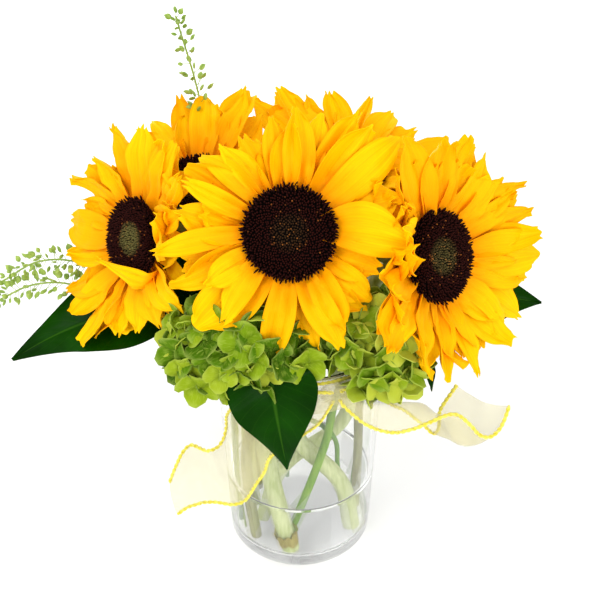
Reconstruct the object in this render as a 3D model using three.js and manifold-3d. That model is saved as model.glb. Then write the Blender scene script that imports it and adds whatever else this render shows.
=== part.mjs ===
// Sunflowers in a glass vase: five sunflowers, hydrangea heads, leafy stems, seed-pod sprigs and a
// ribbon, standing in water in a clear cylinder vase.
// Millimetres, +Z up. The origin is the middle of the vase's flat foot, and the front looks along -Y.
// Where one piece meets another, the later one leaves a small clearance round the earlier one.
import * as THREE from 'three';
import { mergeVertices } from 'three/addons/utils/BufferGeometryUtils.js';
import Module from 'manifold-3d';

const wasm = await Module();
wasm.setup();

// ---- driving dimensions ----
const CLEARANCE = 0.35; // gap left round every earlier piece
const SEAT_GAP = 0.4; // gap where one piece is made to sit against another
const BLADE = 0.8; // thickness of a petal, a leaf or a sepal
const SMOOTHING = 0.14; // slivers smaller than this are closed up

const VASE = { height: 165, footRadius: 50, flare: 6 / 165, wall: 3.2, floor: 8, corner: 7, sides: 24 };
const WATER_LEVEL = 55;

// A stem in the vase is given by where it stands at these heights, from its cut end to the neck.
const STEM_HEIGHTS = [10, 50, 95, 150];

const DISC = {
  radius: 28.5,
  underside: 17,
  rimHeight: 3.4,
  crown: 4,
  dip: 1.6,
  dipRadius: 10,
  seed: 0.9,
  rings: 6,
  sectors: 14,
};
const RING = { inner: 16, outer: 22, top: -1.2, depth: 7.5, sides: 10 }; // where the petals are rooted
const CALYX = { plug: 15, rim: 22, depth: 19, bracts: 6, bractReach: 36, bractWidth: 13 };

const FLORET = { reach: 9.5, waist: 4.6, cup: 2.2, stand: 2.4, sunk: 7, depth: 6.5 };
const POD = { radius: 3.1, thick: 2.4, stalk: 8, sides: 5 };
const RIBBON = { cloth: 0.8, edge: 1.35, wrapLow: 139, wrapHigh: 161 };

// ---- the flowers: where each disc sits, which way it faces, and its petals ----
// turn: degrees to the right of the front. rise: degrees above the horizon.
// A petal is [clock angle, tip radius, width, tip lift, bow, sway], in degrees and millimetres.
const SUNFLOWERS = {
  front: {
    at: [-6, -34, 253],
    turn: 0,
    rise: 29,
    stem: { radius: 6, stand: [[36, -15], [28, -16], [-5, -12], [2, -8]] },
    petals: [
      [8, 68, 25, 14, 8, -14],
      [26, 67, 24, 9, 5, 0],
      [45, 83, 25, 7, 4, 0],
      [67, 79, 20, 4, 2, -3],
      [88, 71, 22, 6, 3, 0],
      [106, 67, 20, 4, 3, 2],
      [128, 67, 17, 7, 2, 0],
      [142, 70, 15, 1, 2, 2],
      [156, 66, 10, 8, 3, 0],
      [171, 60, 11, 2, 2, 0],
      [181, 78, 11, 3, 0, 6],
      [204, 75, 17, 1, 3, 0],
      [217, 62, 22, 8, 4, 0],
      [231, 76, 25, 2, 5, 0],
      [265, 74, 15, 5, 6, 0],
      [281, 72, 14, -2, 2, 0],
      [296, 72, 22, 6, 7, 0],
      [325, 61, 26, 5, 5, 0],
    ],
  },
  right: {
    at: [80, -25, 233],
    turn: 43,
    rise: 22,
    stem: { radius: 5, stand: [[-27, -8], [-13, -2], [31, 1], [26, -14]] },
    petals: [
      [342, 84, 24, 20, 2, 0],
      [359, 80, 22, 20, 2, 0],
      [10, 76, 12, 14, 2, 0],
      [18, 74, 17, 18, 2, 0],
      [31, 67, 20, 18, 3, 0],
      [46, 71, 20, 15, 3, 0],
      [63, 70, 20, 14, 3, 0],
      [80, 66, 20, 14, 3, 0],
      [97, 76, 18, 10, 3, 0],
      [122, 54, 16, 22, 4, 0],
      [146, 47, 16, 24, 5, 0],
      [168, 44, 15, 22, 5, 0],
      [186, 62, 15, 20, 4, 0],
      [202, 74, 18, 15, 4, 0],
      [220, 71, 18, 12, 4, 0],
      [250, 75, 17, 12, 3, 0],
      [272, 76, 17, 12, 3, 0],
      [291, 77, 18, 14, 3, 0],
      [303, 69, 18, 14, 2, 0],
      [316, 82, 18, 16, 2, 0],
      [329, 78, 16, 12, 2, 0],
    ],
  },
  left: {
    at: [-100, 5, 229],
    turn: -47,
    rise: 20,
    stem: { radius: 6, stand: [[-6, -38], [-15, -36], [-23, -28], [-28, -8]] },
    petals: [
      [194, 69, 20, 10, 3, 0],
      [176, 56, 15, 8, 2, 0],
      [164, 66, 18, 8, 2, 0],
      [150, 63, 18, 8, 2, 0],
      [133, 60, 11, 6, 2, 4],
      [117, 71, 17, 7, 2, 0],
      [101, 69, 16, 7, 2, 0],
      [84, 66, 16, 4, 2, 0],
      [64, 68, 20, 8, 3, 0],
      [42, 50, 15, 18, 4, 0],
      [18, 45, 14, 22, 5, 0],
      [325, 4, 14, 17, 9, -20],
      [328, 60, 17, 8, 3, 0],
      [311, 57, 18, 6, 4, 0],
      [294, 58, 16, 4, 3, 0],
      [267, 76, 22, 8, 4, 0],
      [251, 84, 24, 9, 4, 0],
      [230, 74, 21, 10, 3, 0],
      [212, 64, 16, 6, 2, 0],
    ],
  },
  backLeft: {
    at: [-66, 45, 242],
    turn: -15,
    rise: 50,
    stem: { radius: 5, stand: [[-34, 8], [-37, 10], [-36, 14], [-22, 20]] },
    petals: [
      [122, 68, 18, 3, 2, 0],
      [109, 73, 18, 3, 2, 0],
      [96, 73, 17, 2, 2, 0],
      [84, 81, 16, 2, 2, 0],
      [74, 80, 14, 0, 2, 0],
      [62, 68, 16, 2, 2, 0],
      [140, 62, 18, 3, 2, 0],
      [170, 54, 16, 4, 2, 0],
      [192, 50, 16, 8, 3, 0],
      [214, 46, 15, 12, 4, 0],
      [242, 42, 16, 14, 4, 0],
      [276, 42, 16, 18, 4, 0],
      [314, 44, 15, 16, 4, 0],
      [340, 48, 15, 12, 3, 0],
      [8, 54, 16, 8, 3, 0],
      [36, 58, 17, 4, 2, 0],
    ],
  },
  back: {
    at: [30, 74, 244],
    turn: 10,
    rise: 62,
    stem: { radius: 5, stand: [[-20, 26], [-18, 28], [-8, 32], [14, 34]] },
    petals: [
      [134, 81, 18, 12, 3, 0],
      [124, 79, 17, 12, 3, 0],
      [114, 75, 18, 11, 3, 0],
      [98, 65, 18, 9, 2, 0],
      [83, 65, 16, 6, 2, 0],
      [69, 67, 9, 12, 2, 0],
      [47, 62, 16, 10, 4, 0],
      [27, 62, 16, 10, 4, 0],
      [7, 76, 15, 10, 3, 0],
      [345, 58, 16, 10, 3, 0],
      [322, 48, 15, 14, 4, 0],
      [298, 44, 15, 17, 4, 0],
      [262, 42, 16, 18, 4, 0],
      [229, 43, 16, 17, 4, 0],
      [196, 52, 16, 12, 3, 0],
      [170, 58, 16, 10, 3, 0],
      [152, 62, 16, 10, 3, 0],
    ],
  },
};

// ---- hydrangea heads: middle, half sizes, florets and stem ----
const HYDRANGEAS = {
  front_left: {
    at: [-32, -40, 181],
    half: [52, 34, 38],
    florets: 14,
    stem: { radius: 3.6, stand: [[-30, -26], [-34, -26], [-34, -28], [-22, -35]] },
  },
  front_right: {
    at: [46, -42, 181],
    half: [33, 30, 34],
    florets: 11,
    stem: { radius: 2.8, stand: [[-8, -26], [4, -28], [16, -30], [28, -32]] },
  },
  back_right: {
    at: [52, 38, 188],
    half: [34, 32, 28],
    florets: 8,
    stem: { radius: 3.5, stand: [[41, 5], [42, 8], [41, 10], [35, 12]] },
  },
  back_left: {
    at: [-24, 60, 188],
    half: [34, 28, 28],
    florets: 8,
    stem: { radius: 3.6, stand: [[-32, 24], [-34, 26], [-30, 32], [-13, 41]] },
  },
};

// ---- leafy stems: the stem, then each leaf as root, bend, tip, width and the way it faces ----
const LEAFY_STEMS = {
  front: {
    stand: [[33, 3], [27, -2], [21, -18], [-22, -42]],
    leaves: [
      { root: [-17, -52, 172], bend: [-18, -74, 176], tip: [-8, -67, 106], width: 54, faces: [0, -5, 1] },
    ],
  },
  left: {
    stand: [[-42, -10], [-44, -10], [-45, -8], [-45, -6]],
    leaves: [
      { root: [-74, 12, 172], bend: [-130, 20, 176], tip: [-193, 8, 136], width: 56, faces: [-1, -5, 8] },
    ],
  },
  right: {
    stand: [[39, 18], [42, 18], [44, 15], [46, 0]],
    leaves: [
      { root: [70, 6, 172], bend: [112, 22, 184], tip: [158, 14, 177], width: 50, faces: [1, -6, 6] },
      { root: [84, 14, 186], bend: [104, 36, 216], tip: [131, 45, 246], width: 34, faces: [-5, -7, 5] },
      { root: [66, 42, 178], bend: [94, 62, 188], tip: [118, 78, 162], width: 40, faces: [4, 6, 7] },
    ],
  },
  back: {
    stand: [[-10, 36], [-8, 40], [0, 44], [10, 46]],
    leaves: [
      { root: [2, 66, 171], bend: [16, 98, 178], tip: [24, 120, 142], width: 44, faces: [1, 7, 7] },
    ],
  },
};
const TWIG = 1.7;

// ---- seed-pod sprigs: the stalk in the vase and above it, and the stretch that carries pods ----
const SPRIGS = {
  top: {
    stand: [[-40, 16], [-42, 20], [-40, 24], [-34, 30]],
    way: [[-44, 76, 196], [-62, 98, 240], [-68, 98, 290], [-79, 92, 343]],
    bare: 0.64,
    pods: 10,
  },
  left_upper: {
    stand: [[-43, 0], [-46, 4], [-46, 8], [-45, 14]],
    way: [[-84, 34, 176], [-116, 46, 180], [-143, 47, 188], [-174, 42, 193], [-200, 36, 181]],
    bare: 0.64,
    pods: 8,
  },
  left_lower: {
    stand: [[-38, -18], [-41, -18], [-41, -20], [-40, -24]],
    way: [[-80, 0, 160], [-118, 34, 160], [-148, 34, 178], [-176, 30, 182], [-201, 22, 174]],
    bare: 0.66,
    pods: 7,
  },
};
const SPRIG_STALK = 0.95;
const POD_STALK = 0.55;

// ---- the ribbon's two tails, each as rows of points from the knot to the cut end ----
// A row runs across the ribbon: its upper edge, its middle and its lower edge.
const KNOT = { at: [21, -58, 157], size: [9, 5, 7] };
const RIBBON_TAILS = {
  left: [
    [[20, -61, 160], [20, -62, 157], [20, -61, 154]],
    [[0, -61, 160], [5, -65, 149], [11, -63, 138]],
    [[-23, -54, 151], [-14, -60, 136], [-5, -60, 122]],
    [[-39, -40, 136], [-26, -52, 124], [-14, -57, 112]],
    [[-47, -32, 121], [-34, -46, 112], [-20, -54, 102]],
    [[-50, -31, 101], [-39, -45, 89], [-29, -50, 77]],
    [[-60, -37, 95], [-52, -48, 78], [-44, -52, 62]],
    [[-72, -30, 94], [-67, -44, 78], [-63, -50, 62]],
    [[-81, -38, 85], [-77, -52, 73], [-74, -55, 62]],
    [[-86, -44, 74], [-83, -56, 67], [-80, -59, 60]],
  ],
  right: [
    [[25, -60, 162], [25, -61, 158.5], [25, -60, 155]],
    [[44, -52, 152], [41, -64, 154], [40, -69, 142]],
    [[58, -46, 139], [57, -60, 150], [55, -70, 137]],
    [[72, -43, 127], [77, -53, 144], [79, -65, 141]],
    [[84, -46, 117], [93, -55, 124], [93, -60, 143]],
    [[91, -40, 137], [107, -54, 121], [117, -64, 129]],
    [[98, -37, 148], [113, -47, 143], [127, -58, 148]],
  ],
};

// ---- colours ----
function finish(color, roughness, extra = {}) {
  return new THREE.MeshStandardMaterial({ color, roughness, metalness: 0, ...extra });
}
const GLASS = finish(0xeaf4f2, 0.04, { transparent: true, opacity: 0.3 });
const CLEAR_WATER = finish(0xdcebe4, 0.05, { transparent: true, opacity: 0.35 });
const PETAL_YELLOW = finish(0xffbf06, 0.6);
const DISC_BROWN = finish(0x1c0b08, 0.9);
const STEM_GREEN = finish(0x8fa35c, 0.6);
const FLORET_LIME = finish(0x93b83a, 0.7);
const WOODY_GREEN = finish(0x8a8f55, 0.8);
const LEAF_GREEN = finish(0x0f4a12, 0.3);
const SPRIG_GREEN = finish(0x9ab04a, 0.6);
const RIBBON_CREAM = finish(0xf6efc0, 0.7);

// ---- small tools ----
const vec = (p) => new THREE.Vector3(...p);
const radians = THREE.MathUtils.degToRad;

// An even, repeatable draw between 0 and 1 from two whole numbers.
function draw(a, b) {
  const wave = Math.sin(a * 127.1 + b * 311.7) * 43758.5453;
  return wave - Math.floor(wave);
}

function solidFrom(positions, triangles) {
  const vertProperties = new Float32Array(positions);
  const make = (corners) => {
    const triVerts = new Uint32Array(corners);
    return new wasm.Manifold(new wasm.Mesh({ numProp: 3, vertProperties, triVerts }));
  };
  const solid = make(triangles);
  if (solid.volume() >= 0) return solid;
  return make([...triangles].reverse());
}

function solidOf(geometry) {
  geometry.deleteAttribute('normal');
  geometry.deleteAttribute('uv');
  const merged = mergeVertices(geometry, 1e-4);
  return solidFrom(merged.attributes.position.array, merged.index.array);
}

function union(solids) {
  return wasm.Manifold.union(solids);
}

function lathe(profile, sides) {
  const points = profile.map(([r, z]) => new THREE.Vector2(r, z));
  return solidOf(new THREE.LatheGeometry(points, sides).rotateX(Math.PI / 2));
}

function tube(points, radius, sides, steps) {
  const section = new THREE.Shape();
  for (let i = 0; i < sides; i++) {
    const angle = (i / sides) * 2 * Math.PI;
    section[i ? 'lineTo' : 'moveTo'](radius * Math.cos(angle), radius * Math.sin(angle));
  }
  section.closePath();
  const extrudePath = new THREE.CatmullRomCurve3(points, false, 'centripetal');
  return solidOf(new THREE.ExtrudeGeometry(section, { extrudePath, steps, curveSegments: 1 }));
}

// Triangles that join one row of points to the next, whatever their counts.
function stripFaces(rows) {
  const faces = [];
  let start = 0;
  for (let r = 0; r + 1 < rows.length; r++) {
    const next = start + rows[r].length;
    let i = 0;
    let j = 0;
    const lastI = rows[r].length - 1;
    const lastJ = rows[r + 1].length - 1;
    while (i < lastI || j < lastJ) {
      const stepHere = j === lastJ || (i < lastI && (i + 1) * lastJ <= (j + 1) * lastI);
      if (stepHere) faces.push([start + i, start + i + 1, next + j]);
      else faces.push([start + i, next + j + 1, next + j]);
      if (stepHere) i++;
      else j++;
    }
    start = next;
  }
  return faces;
}

// A thin closed blade: the sheet through the rows of points, thickened alike to both sides.
function blade(rows, thickness, grow = 0) {
  const points = rows.flat().map((p) => p.clone());
  const faces = stripFaces(rows);
  const normals = points.map(() => new THREE.Vector3());
  const outward = points.map(() => new THREE.Vector3());
  const edges = new Map();
  for (const [a, b, c] of faces) {
    const normal = points[b].clone().sub(points[a]).cross(points[c].clone().sub(points[a]));
    for (const k of [a, b, c]) normals[k].add(normal);
    for (const [from, to] of [[a, b], [b, c], [c, a]]) edges.set(from + ' ' + to, [from, to, normal]);
  }
  const rim = [...edges.values()].filter(([from, to]) => !edges.has(to + ' ' + from));
  for (const [from, to, normal] of rim) {
    const side = points[to].clone().sub(points[from]).cross(normal).normalize();
    outward[from].add(side);
    outward[to].add(side);
  }
  const positions = [];
  for (const face of [1, -1]) {
    points.forEach((p, k) => {
      const lift = normals[k].clone().normalize().multiplyScalar(face * (thickness / 2 + grow));
      const spread = outward[k].clone().normalize().multiplyScalar(grow);
      positions.push(...p.clone().add(lift).add(spread).toArray());
    });
  }
  const n = points.length;
  const triangles = [];
  for (const [a, b, c] of faces) triangles.push(a, b, c, n + a, n + c, n + b);
  for (const [from, to] of rim) triangles.push(from, n + from, to, to, n + from, n + to);
  return solidFrom(positions, triangles);
}

// ---- placing pieces: each later piece keeps clear of what is already there ----
const bouquet = new THREE.Group();
const placed = [];

function boxesMeet(a, b) {
  return [0, 1, 2].every((k) => a.min[k] <= b.max[k] && b.min[k] <= a.max[k]);
}

function neighbours(solid) {
  const box = solid.boundingBox();
  return placed.filter((other) => boxesMeet(box, other.box));
}

function overlapWithPlaced(solid) {
  return neighbours(solid).reduce((sum, other) => sum + solid.intersect(other.grown).volume(), 0);
}

function largestBody(solid) {
  const bodies = solid.decompose();
  return bodies.reduce((best, body) => (body.volume() > best.volume() ? body : best));
}

// build(grow) makes the piece in the group's own frame, swollen by grow on every side.
function settle(name, build, material, group = bouquet) {
  const toWorld = group.matrix.elements;
  const whole = build(0).transform(toWorld);
  const cut = neighbours(whole).reduce((solid, other) => solid.subtract(other.grown), whole);
  const clean = largestBody(cut.simplify(SMOOTHING));
  const grown = build(CLEARANCE).transform(toWorld);
  placed.push({ grown, box: grown.boundingBox() });
  const local = clean.transform(group.matrix.clone().invert().elements);
  const mesh = local.getMesh();
  const geometry = new THREE.BufferGeometry();
  const positions = new Float32Array(mesh.vertProperties);
  geometry.setAttribute('position', new THREE.BufferAttribute(positions, 3));
  geometry.setIndex(new THREE.BufferAttribute(new Uint32Array(mesh.triVerts), 1));
  const node = new THREE.Mesh(geometry, material);
  node.name = name;
  group.add(node);
}

// ---- vase and water ----
const outerRadius = (z) => VASE.footRadius + VASE.flare * z;
const innerRadius = (z) => outerRadius(z) - VASE.wall;

function vaseSolid(grow) {
  const { height, corner, wall, floor, sides } = VASE;
  const rim = wall / 2;
  const profile = [
    [0, -grow],
    [outerRadius(0) - corner, -grow],
    [outerRadius(0) - 0.3 * corner + grow, 0.25 * corner],
    [outerRadius(corner) + grow, corner],
    [outerRadius(height - rim) + grow, height - rim],
    [outerRadius(height) - 0.3 * rim, height + grow],
    [innerRadius(height) + 0.3 * rim, height + grow],
    [innerRadius(height - rim) - grow, height - rim],
    [innerRadius(floor + corner) - grow, floor + corner],
    [innerRadius(floor) - 0.3 * corner - grow, floor + 0.3 * corner + grow],
    [innerRadius(floor) - corner, floor + grow],
    [0, floor + grow],
  ];
  return lathe(profile, sides);
}

function waterSolid(grow) {
  const { corner, floor, sides } = VASE;
  const gap = SEAT_GAP - grow;
  const profile = [
    [0, floor + gap],
    [innerRadius(floor) - corner - gap, floor + gap],
    [innerRadius(floor) - 0.3 * corner - gap, floor + 0.3 * corner + gap],
    [innerRadius(floor + corner) - gap, floor + corner],
    [innerRadius(WATER_LEVEL) - gap, WATER_LEVEL + grow],
    [0, WATER_LEVEL + grow],
  ];
  return lathe(profile, sides);
}

// ---- stems ----
// The way over the rim towards a point outside the vase.
function overRim([x, y]) {
  const r = innerRadius(VASE.height) - 5;
  return new THREE.Vector3(x, y, 0).setLength(r).setZ(VASE.height + 4);
}

// A stem's smooth way: up through the vase, then through the points above it.
function stemPoints(stand, above) {
  return [...stand.map(([x, y], i) => new THREE.Vector3(x, y, STEM_HEIGHTS[i])), ...above];
}

// ---- sunflowers ----
function facingGroup({ at, turn, rise }) {
  const a = radians(turn);
  const e = radians(rise);
  const facing = new THREE.Vector3(Math.sin(a) * Math.cos(e), -Math.cos(a) * Math.cos(e), Math.sin(e));
  const across = new THREE.Vector3(0, 0, 1).cross(facing).normalize();
  const upward = facing.clone().cross(across);
  const group = new THREE.Group();
  group.position.set(...at);
  group.quaternion.setFromRotationMatrix(new THREE.Matrix4().makeBasis(across, upward, facing));
  group.updateMatrix();
  return group;
}

// Half the width of a petal at s, from its root (0) to its tip (1), as a share of its widest.
function petalOutline(s) {
  const widest = 0.48;
  if (s < widest) return 0.42 + 0.58 * Math.sin(((s / widest) * Math.PI) / 2);
  return Math.cos((((s - widest) / (1 - widest)) * Math.PI) / 2) ** 0.75;
}

const PETAL_ROOT = 18;
const PETAL_ROWS = [0, 0.32, 0.72, 1];
const PETAL_TROUGH = 0.08;
const PETAL_LAYER = 3.4; // how far the back layer lies behind the front one

// A point of a petal: s along it, u across it from -1 to 1. layer 0 is in front of layer 1.
function petalPoint([clock, reach, width, lift, bow, sway], layer, s, u) {
  const base = -2.3 - PETAL_LAYER * layer;
  const end = lift - PETAL_LAYER * layer;
  const radius = PETAL_ROOT + (reach - PETAL_ROOT) * s;
  const height = base + (end - base) * s ** 2 + (bow * (1 - Math.cos(2 * Math.PI * s))) / 2;
  const half = (width / 2) * petalOutline(s);
  const side = half * u + sway * s * s;
  const trough = PETAL_TROUGH * half * Math.abs(u) * Math.min(1, 2 * s);
  const angle = radians(clock);
  return new THREE.Vector3(
    radius * Math.cos(angle) - side * Math.sin(angle),
    radius * Math.sin(angle) + side * Math.cos(angle),
    height + trough,
  );
}

function petalBlade(petal, layer, grow) {
  const rows = PETAL_ROWS.map((s) => (s % 1 ? [1, 0, -1] : [0]).map((u) => petalPoint(petal, layer, s, u)));
  return blade(rows, BLADE, grow);
}

// The petal as given, or bent forwards or backwards until it clears the flowers already placed.
function bentClear(petal, layer, matrix) {
  let best = petal;
  let least = Infinity;
  for (const bend of [0, 4, -4, 8, -8, 12, -12, 16]) {
    const [clock, reach, width, lift, bow, sway] = petal;
    const tried = [clock, reach, width, lift + bend, bow, sway];
    const overlap = overlapWithPlaced(petalBlade(tried, layer, 0).transform(matrix));
    if (overlap < least) [best, least] = [tried, overlap];
    if (overlap < 0.1) break;
  }
  return best;
}

function petalRing(petals, grow) {
  const { inner, outer, top, depth, sides } = RING;
  const section = [
    [inner - grow, -depth - grow],
    [outer + grow, -depth - grow],
    [outer + grow, top + grow],
    [inner - grow, top + grow],
    [inner - grow, -depth - grow],
  ];
  return union([lathe(section, sides), ...petals.map((petal, k) => petalBlade(petal, k % 2, grow))]);
}

function discHeight(r) {
  const dome = DISC.rimHeight + DISC.crown * (1 - (r / DISC.radius) ** 4);
  return dome - DISC.dip * Math.exp(-((r / DISC.dipRadius) ** 2));
}

// The disc: a low dome with a dip in the middle, its surface raised in staggered florets.
function discSolid(grow) {
  const { radius, underside, rings, sectors } = DISC;
  const positions = [0, 0, discHeight(0) + grow];
  const triangles = [];
  for (let i = 1; i <= rings; i++) {
    const r = (radius * i) / rings;
    for (let j = 0; j < sectors; j++) {
      const angle = ((j + (i % 2) / 2) / sectors) * 2 * Math.PI;
      const raised = i < rings ? DISC.seed * ((i + j) % 2) : 0;
      const spread = i === rings ? r + grow : r;
      positions.push(spread * Math.cos(angle), spread * Math.sin(angle), discHeight(r) + raised + grow);
    }
  }
  const at = (i, j) => (i === 0 ? 0 : 1 + (i - 1) * sectors + ((j + sectors) % sectors));
  for (let j = 0; j < sectors; j++) triangles.push(0, at(1, j), at(1, j + 1));
  for (let i = 1; i < rings; i++) {
    for (let j = 0; j < sectors; j++) {
      const lean = i % 2 ? 1 : 0;
      triangles.push(at(i, j), at(i + 1, j + lean), at(i, j + 1));
      triangles.push(at(i, j + 1), at(i + 1, j + lean), at(i + 1, j + lean + 1));
    }
  }
  const under = positions.length / 3;
  for (let j = 0; j < sectors; j++) {
    const angle = ((j + (rings % 2) / 2) / sectors) * 2 * Math.PI;
    const r = underside + grow;
    positions.push(r * Math.cos(angle), r * Math.sin(angle), SEAT_GAP - grow);
  }
  positions.push(0, 0, SEAT_GAP - grow);
  const middle = under + sectors;
  for (let j = 0; j < sectors; j++) {
    const next = (j + 1) % sectors;
    triangles.push(at(rings, j), under + j, at(rings, j + 1));
    triangles.push(at(rings, j + 1), under + j, under + next);
    triangles.push(under + j, middle, under + next);
  }
  return solidFrom(positions, triangles);
}

function bractBlade(k, grow) {
  const { rim, bracts, bractReach, bractWidth } = CALYX;
  const angle = ((k + 0.3 * draw(k, 5)) / bracts) * 2 * Math.PI;
  const reach = bractReach * (0.9 + 0.25 * draw(k, 6));
  const sections = [
    [rim - 8, 1],
    [reach, 0],
  ];
  const rows = sections.map(([r, share], i) => {
    const z = -RING.depth - 2.4 - (2 + 3 * draw(k, 7)) * i;
    const across = share ? [1, 0, -1] : [0];
    return across.map((u) => {
      const side = (u * share * bractWidth) / 2;
      return new THREE.Vector3(
        r * Math.cos(angle) - side * Math.sin(angle),
        r * Math.sin(angle) + side * Math.cos(angle),
        z - 0.8 * Math.abs(u),
      );
    });
  });
  return blade(rows, BLADE, grow);
}

function calyxSolid(grow) {
  const { plug, rim, depth, bracts } = CALYX;
  const seat = -RING.depth - SEAT_GAP;
  const profile = [
    [0, grow],
    [plug + grow, grow],
    [plug + grow, seat + grow],
    [rim + grow, seat + grow],
    [rim - 3 + grow, seat - 4],
    [6 + grow, -depth],
    [0, -depth - grow],
  ];
  const blades = Array.from({ length: bracts }, (_, k) => bractBlade(k, grow));
  return union([lathe(profile, RING.sides), ...blades]);
}

function sunflowerStem(group, { stand, radius }, grow) {
  const inverse = group.matrix.clone().invert();
  const back = new THREE.Vector3(0, 0, -CALYX.depth);
  const behind = new THREE.Vector3(0, 0, -CALYX.depth - 12);
  const above = [behind, back].map((p) => p.applyMatrix4(group.matrix));
  const way = stemPoints(stand, above).map((p) => p.applyMatrix4(inverse));
  return union([tube(way, radius + grow, 6, 10), calyxSolid(grow)]);
}

// ---- hydrangea ----
// A floret: four rounded lobes round a dished middle, tapering down into the head.
function floretBlade(centre, outwards, spin, size, grow) {
  const { reach, waist, cup, sunk } = FLORET;
  const across = new THREE.Vector3(0.3, 0.2, 1).cross(outwards).normalize();
  const upward = outwards.clone().cross(across);
  const place = (r, angle, z) =>
    centre
      .clone()
      .addScaledVector(across, r * Math.cos(angle))
      .addScaledVector(upward, r * Math.sin(angle))
      .addScaledVector(outwards, z);
  const loop = [];
  const halfLobe = 0.33 + (3 * grow) / reach;
  for (let lobe = 0; lobe < 4; lobe++) {
    const middle = spin + (lobe * Math.PI) / 2;
    loop.push([waist, middle - Math.PI / 4, 0.2 * cup]);
    loop.push([reach * size, middle - halfLobe, cup]);
    loop.push([reach * size, middle + halfLobe, cup]);
  }
  const n = loop.length;
  const positions = loop.flatMap(([r, angle, z]) => place(r + 3 * grow, angle, z + 1.2 * grow).toArray());
  positions.push(...place(0, 0, 0.5 + grow - 0.4 * cup).toArray());
  positions.push(...place(0, 0, -sunk - 2.5 * grow).toArray());
  const triangles = [];
  for (let k = 0; k < n; k++) {
    const next = (k + 1) % n;
    triangles.push(n, k, next, n + 1, next, k);
  }
  return solidFrom(positions, triangles);
}

function hydrangeaHead({ at, half, florets }, grow) {
  const middle = vec(at);
  const core = new THREE.Vector3(...half.map((h) => h - FLORET.depth));
  const body = solidOf(new THREE.SphereGeometry(1, 8, 6).rotateX(Math.PI / 2))
    .scale(core.clone().addScalar(grow).toArray())
    .translate(at);
  const blades = [];
  const golden = Math.PI * (3 - Math.sqrt(5));
  for (let k = 0; k < florets; k++) {
    const z = 0.95 - (1.6 * (k + 0.5)) / florets;
    const ring = Math.sqrt(1 - z * z);
    const angle = k * golden + at[0];
    const unit = new THREE.Vector3(ring * Math.cos(angle), ring * Math.sin(angle), z);
    const outwards = unit.clone().divide(core).normalize();
    const surface = unit.clone().multiply(core).addScaledVector(outwards, FLORET.stand);
    const size = 0.9 + 0.35 * draw(k, at[1]);
    const spin = 2 * Math.PI * draw(k, at[0]);
    blades.push(floretBlade(surface.add(middle), outwards, spin, size, grow));
  }
  return union([body, ...blades]);
}

function hydrangeaStem({ at, half, stem }, grow) {
  const [x, y, z] = at;
  const top = new THREE.Vector3(x, y, z - 0.2 * half[2]);
  const under = new THREE.Vector3(x * 0.8, y * 0.8, z - 0.62 * half[2]);
  return tube(stemPoints(stem.stand, [under, top]), stem.radius + grow, 6, 8);
}

// ---- leaves ----
const LEAF_ROWS = [0, 0.2, 0.42, 0.68, 1];

function leafBlade({ root, bend, tip, width, faces }, grow) {
  const rib = new THREE.QuadraticBezierCurve3(vec(root), vec(bend), vec(tip));
  const rows = LEAF_ROWS.map((s) => {
    const middle = rib.getPoint(s);
    const along = rib.getTangent(s);
    const side = along.clone().cross(vec(faces)).normalize();
    const front = side.clone().cross(along).normalize();
    const half = (width / 2) * Math.sin(Math.PI * s ** 0.8) ** 0.8;
    if (s === 0 || s === 1) return [middle];
    return [1, 0, -1].map((u) =>
      middle.clone().addScaledVector(side, u * half).addScaledVector(front, 0.18 * half * Math.abs(u)),
    );
  });
  return blade(rows, BLADE, grow);
}

function nearestOnTube(points, steps, place) {
  const spine = new THREE.CatmullRomCurve3(points, false, 'centripetal').getSpacedPoints(steps);
  return spine.reduce((best, p) => (p.distanceTo(place) < best.distanceTo(place) ? p : best));
}

function leafyStem({ stand, leaves }, grow) {
  const steps = 12;
  const onRib = (leaf) => {
    const rib = new THREE.QuadraticBezierCurve3(vec(leaf.root), vec(leaf.bend), vec(leaf.tip));
    return [0, 0.12, 0.25].map((s) => rib.getPoint(s));
  };
  const bendOver = overRim(leaves[0].root);
  const main = stemPoints(stand, [bendOver, ...onRib(leaves[0])]);
  const fork = nearestOnTube(main, steps, bendOver);
  const parts = leaves.map((leaf) => leafBlade(leaf, grow));
  parts.push(tube(main, TWIG + grow, 5, steps));
  for (const leaf of leaves.slice(1)) parts.push(tube([fork, ...onRib(leaf)], 0.75 * TWIG + grow, 4, 4));
  return union(parts);
}

// ---- sprigs ----
function podSolid(centre, flat, along, grow) {
  const { radius, thick, sides } = POD;
  const across = flat.clone().cross(along).normalize();
  const upward = across.clone().cross(flat).normalize();
  const positions = [];
  for (let k = 0; k < sides; k++) {
    const angle = (k / sides) * 2 * Math.PI;
    const p = centre
      .clone()
      .addScaledVector(across, (0.85 * radius + grow) * Math.sin(angle))
      .addScaledVector(upward, (1.15 * radius + grow) * Math.cos(angle));
    positions.push(...p.toArray());
  }
  for (const face of [1, -1]) {
    positions.push(...centre.clone().addScaledVector(flat, face * (thick / 2 + grow)).toArray());
  }
  const triangles = [];
  for (let k = 0; k < sides; k++) {
    const next = (k + 1) % sides;
    triangles.push(k, next, sides, next, k, sides + 1);
  }
  return solidFrom(positions, triangles);
}

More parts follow.
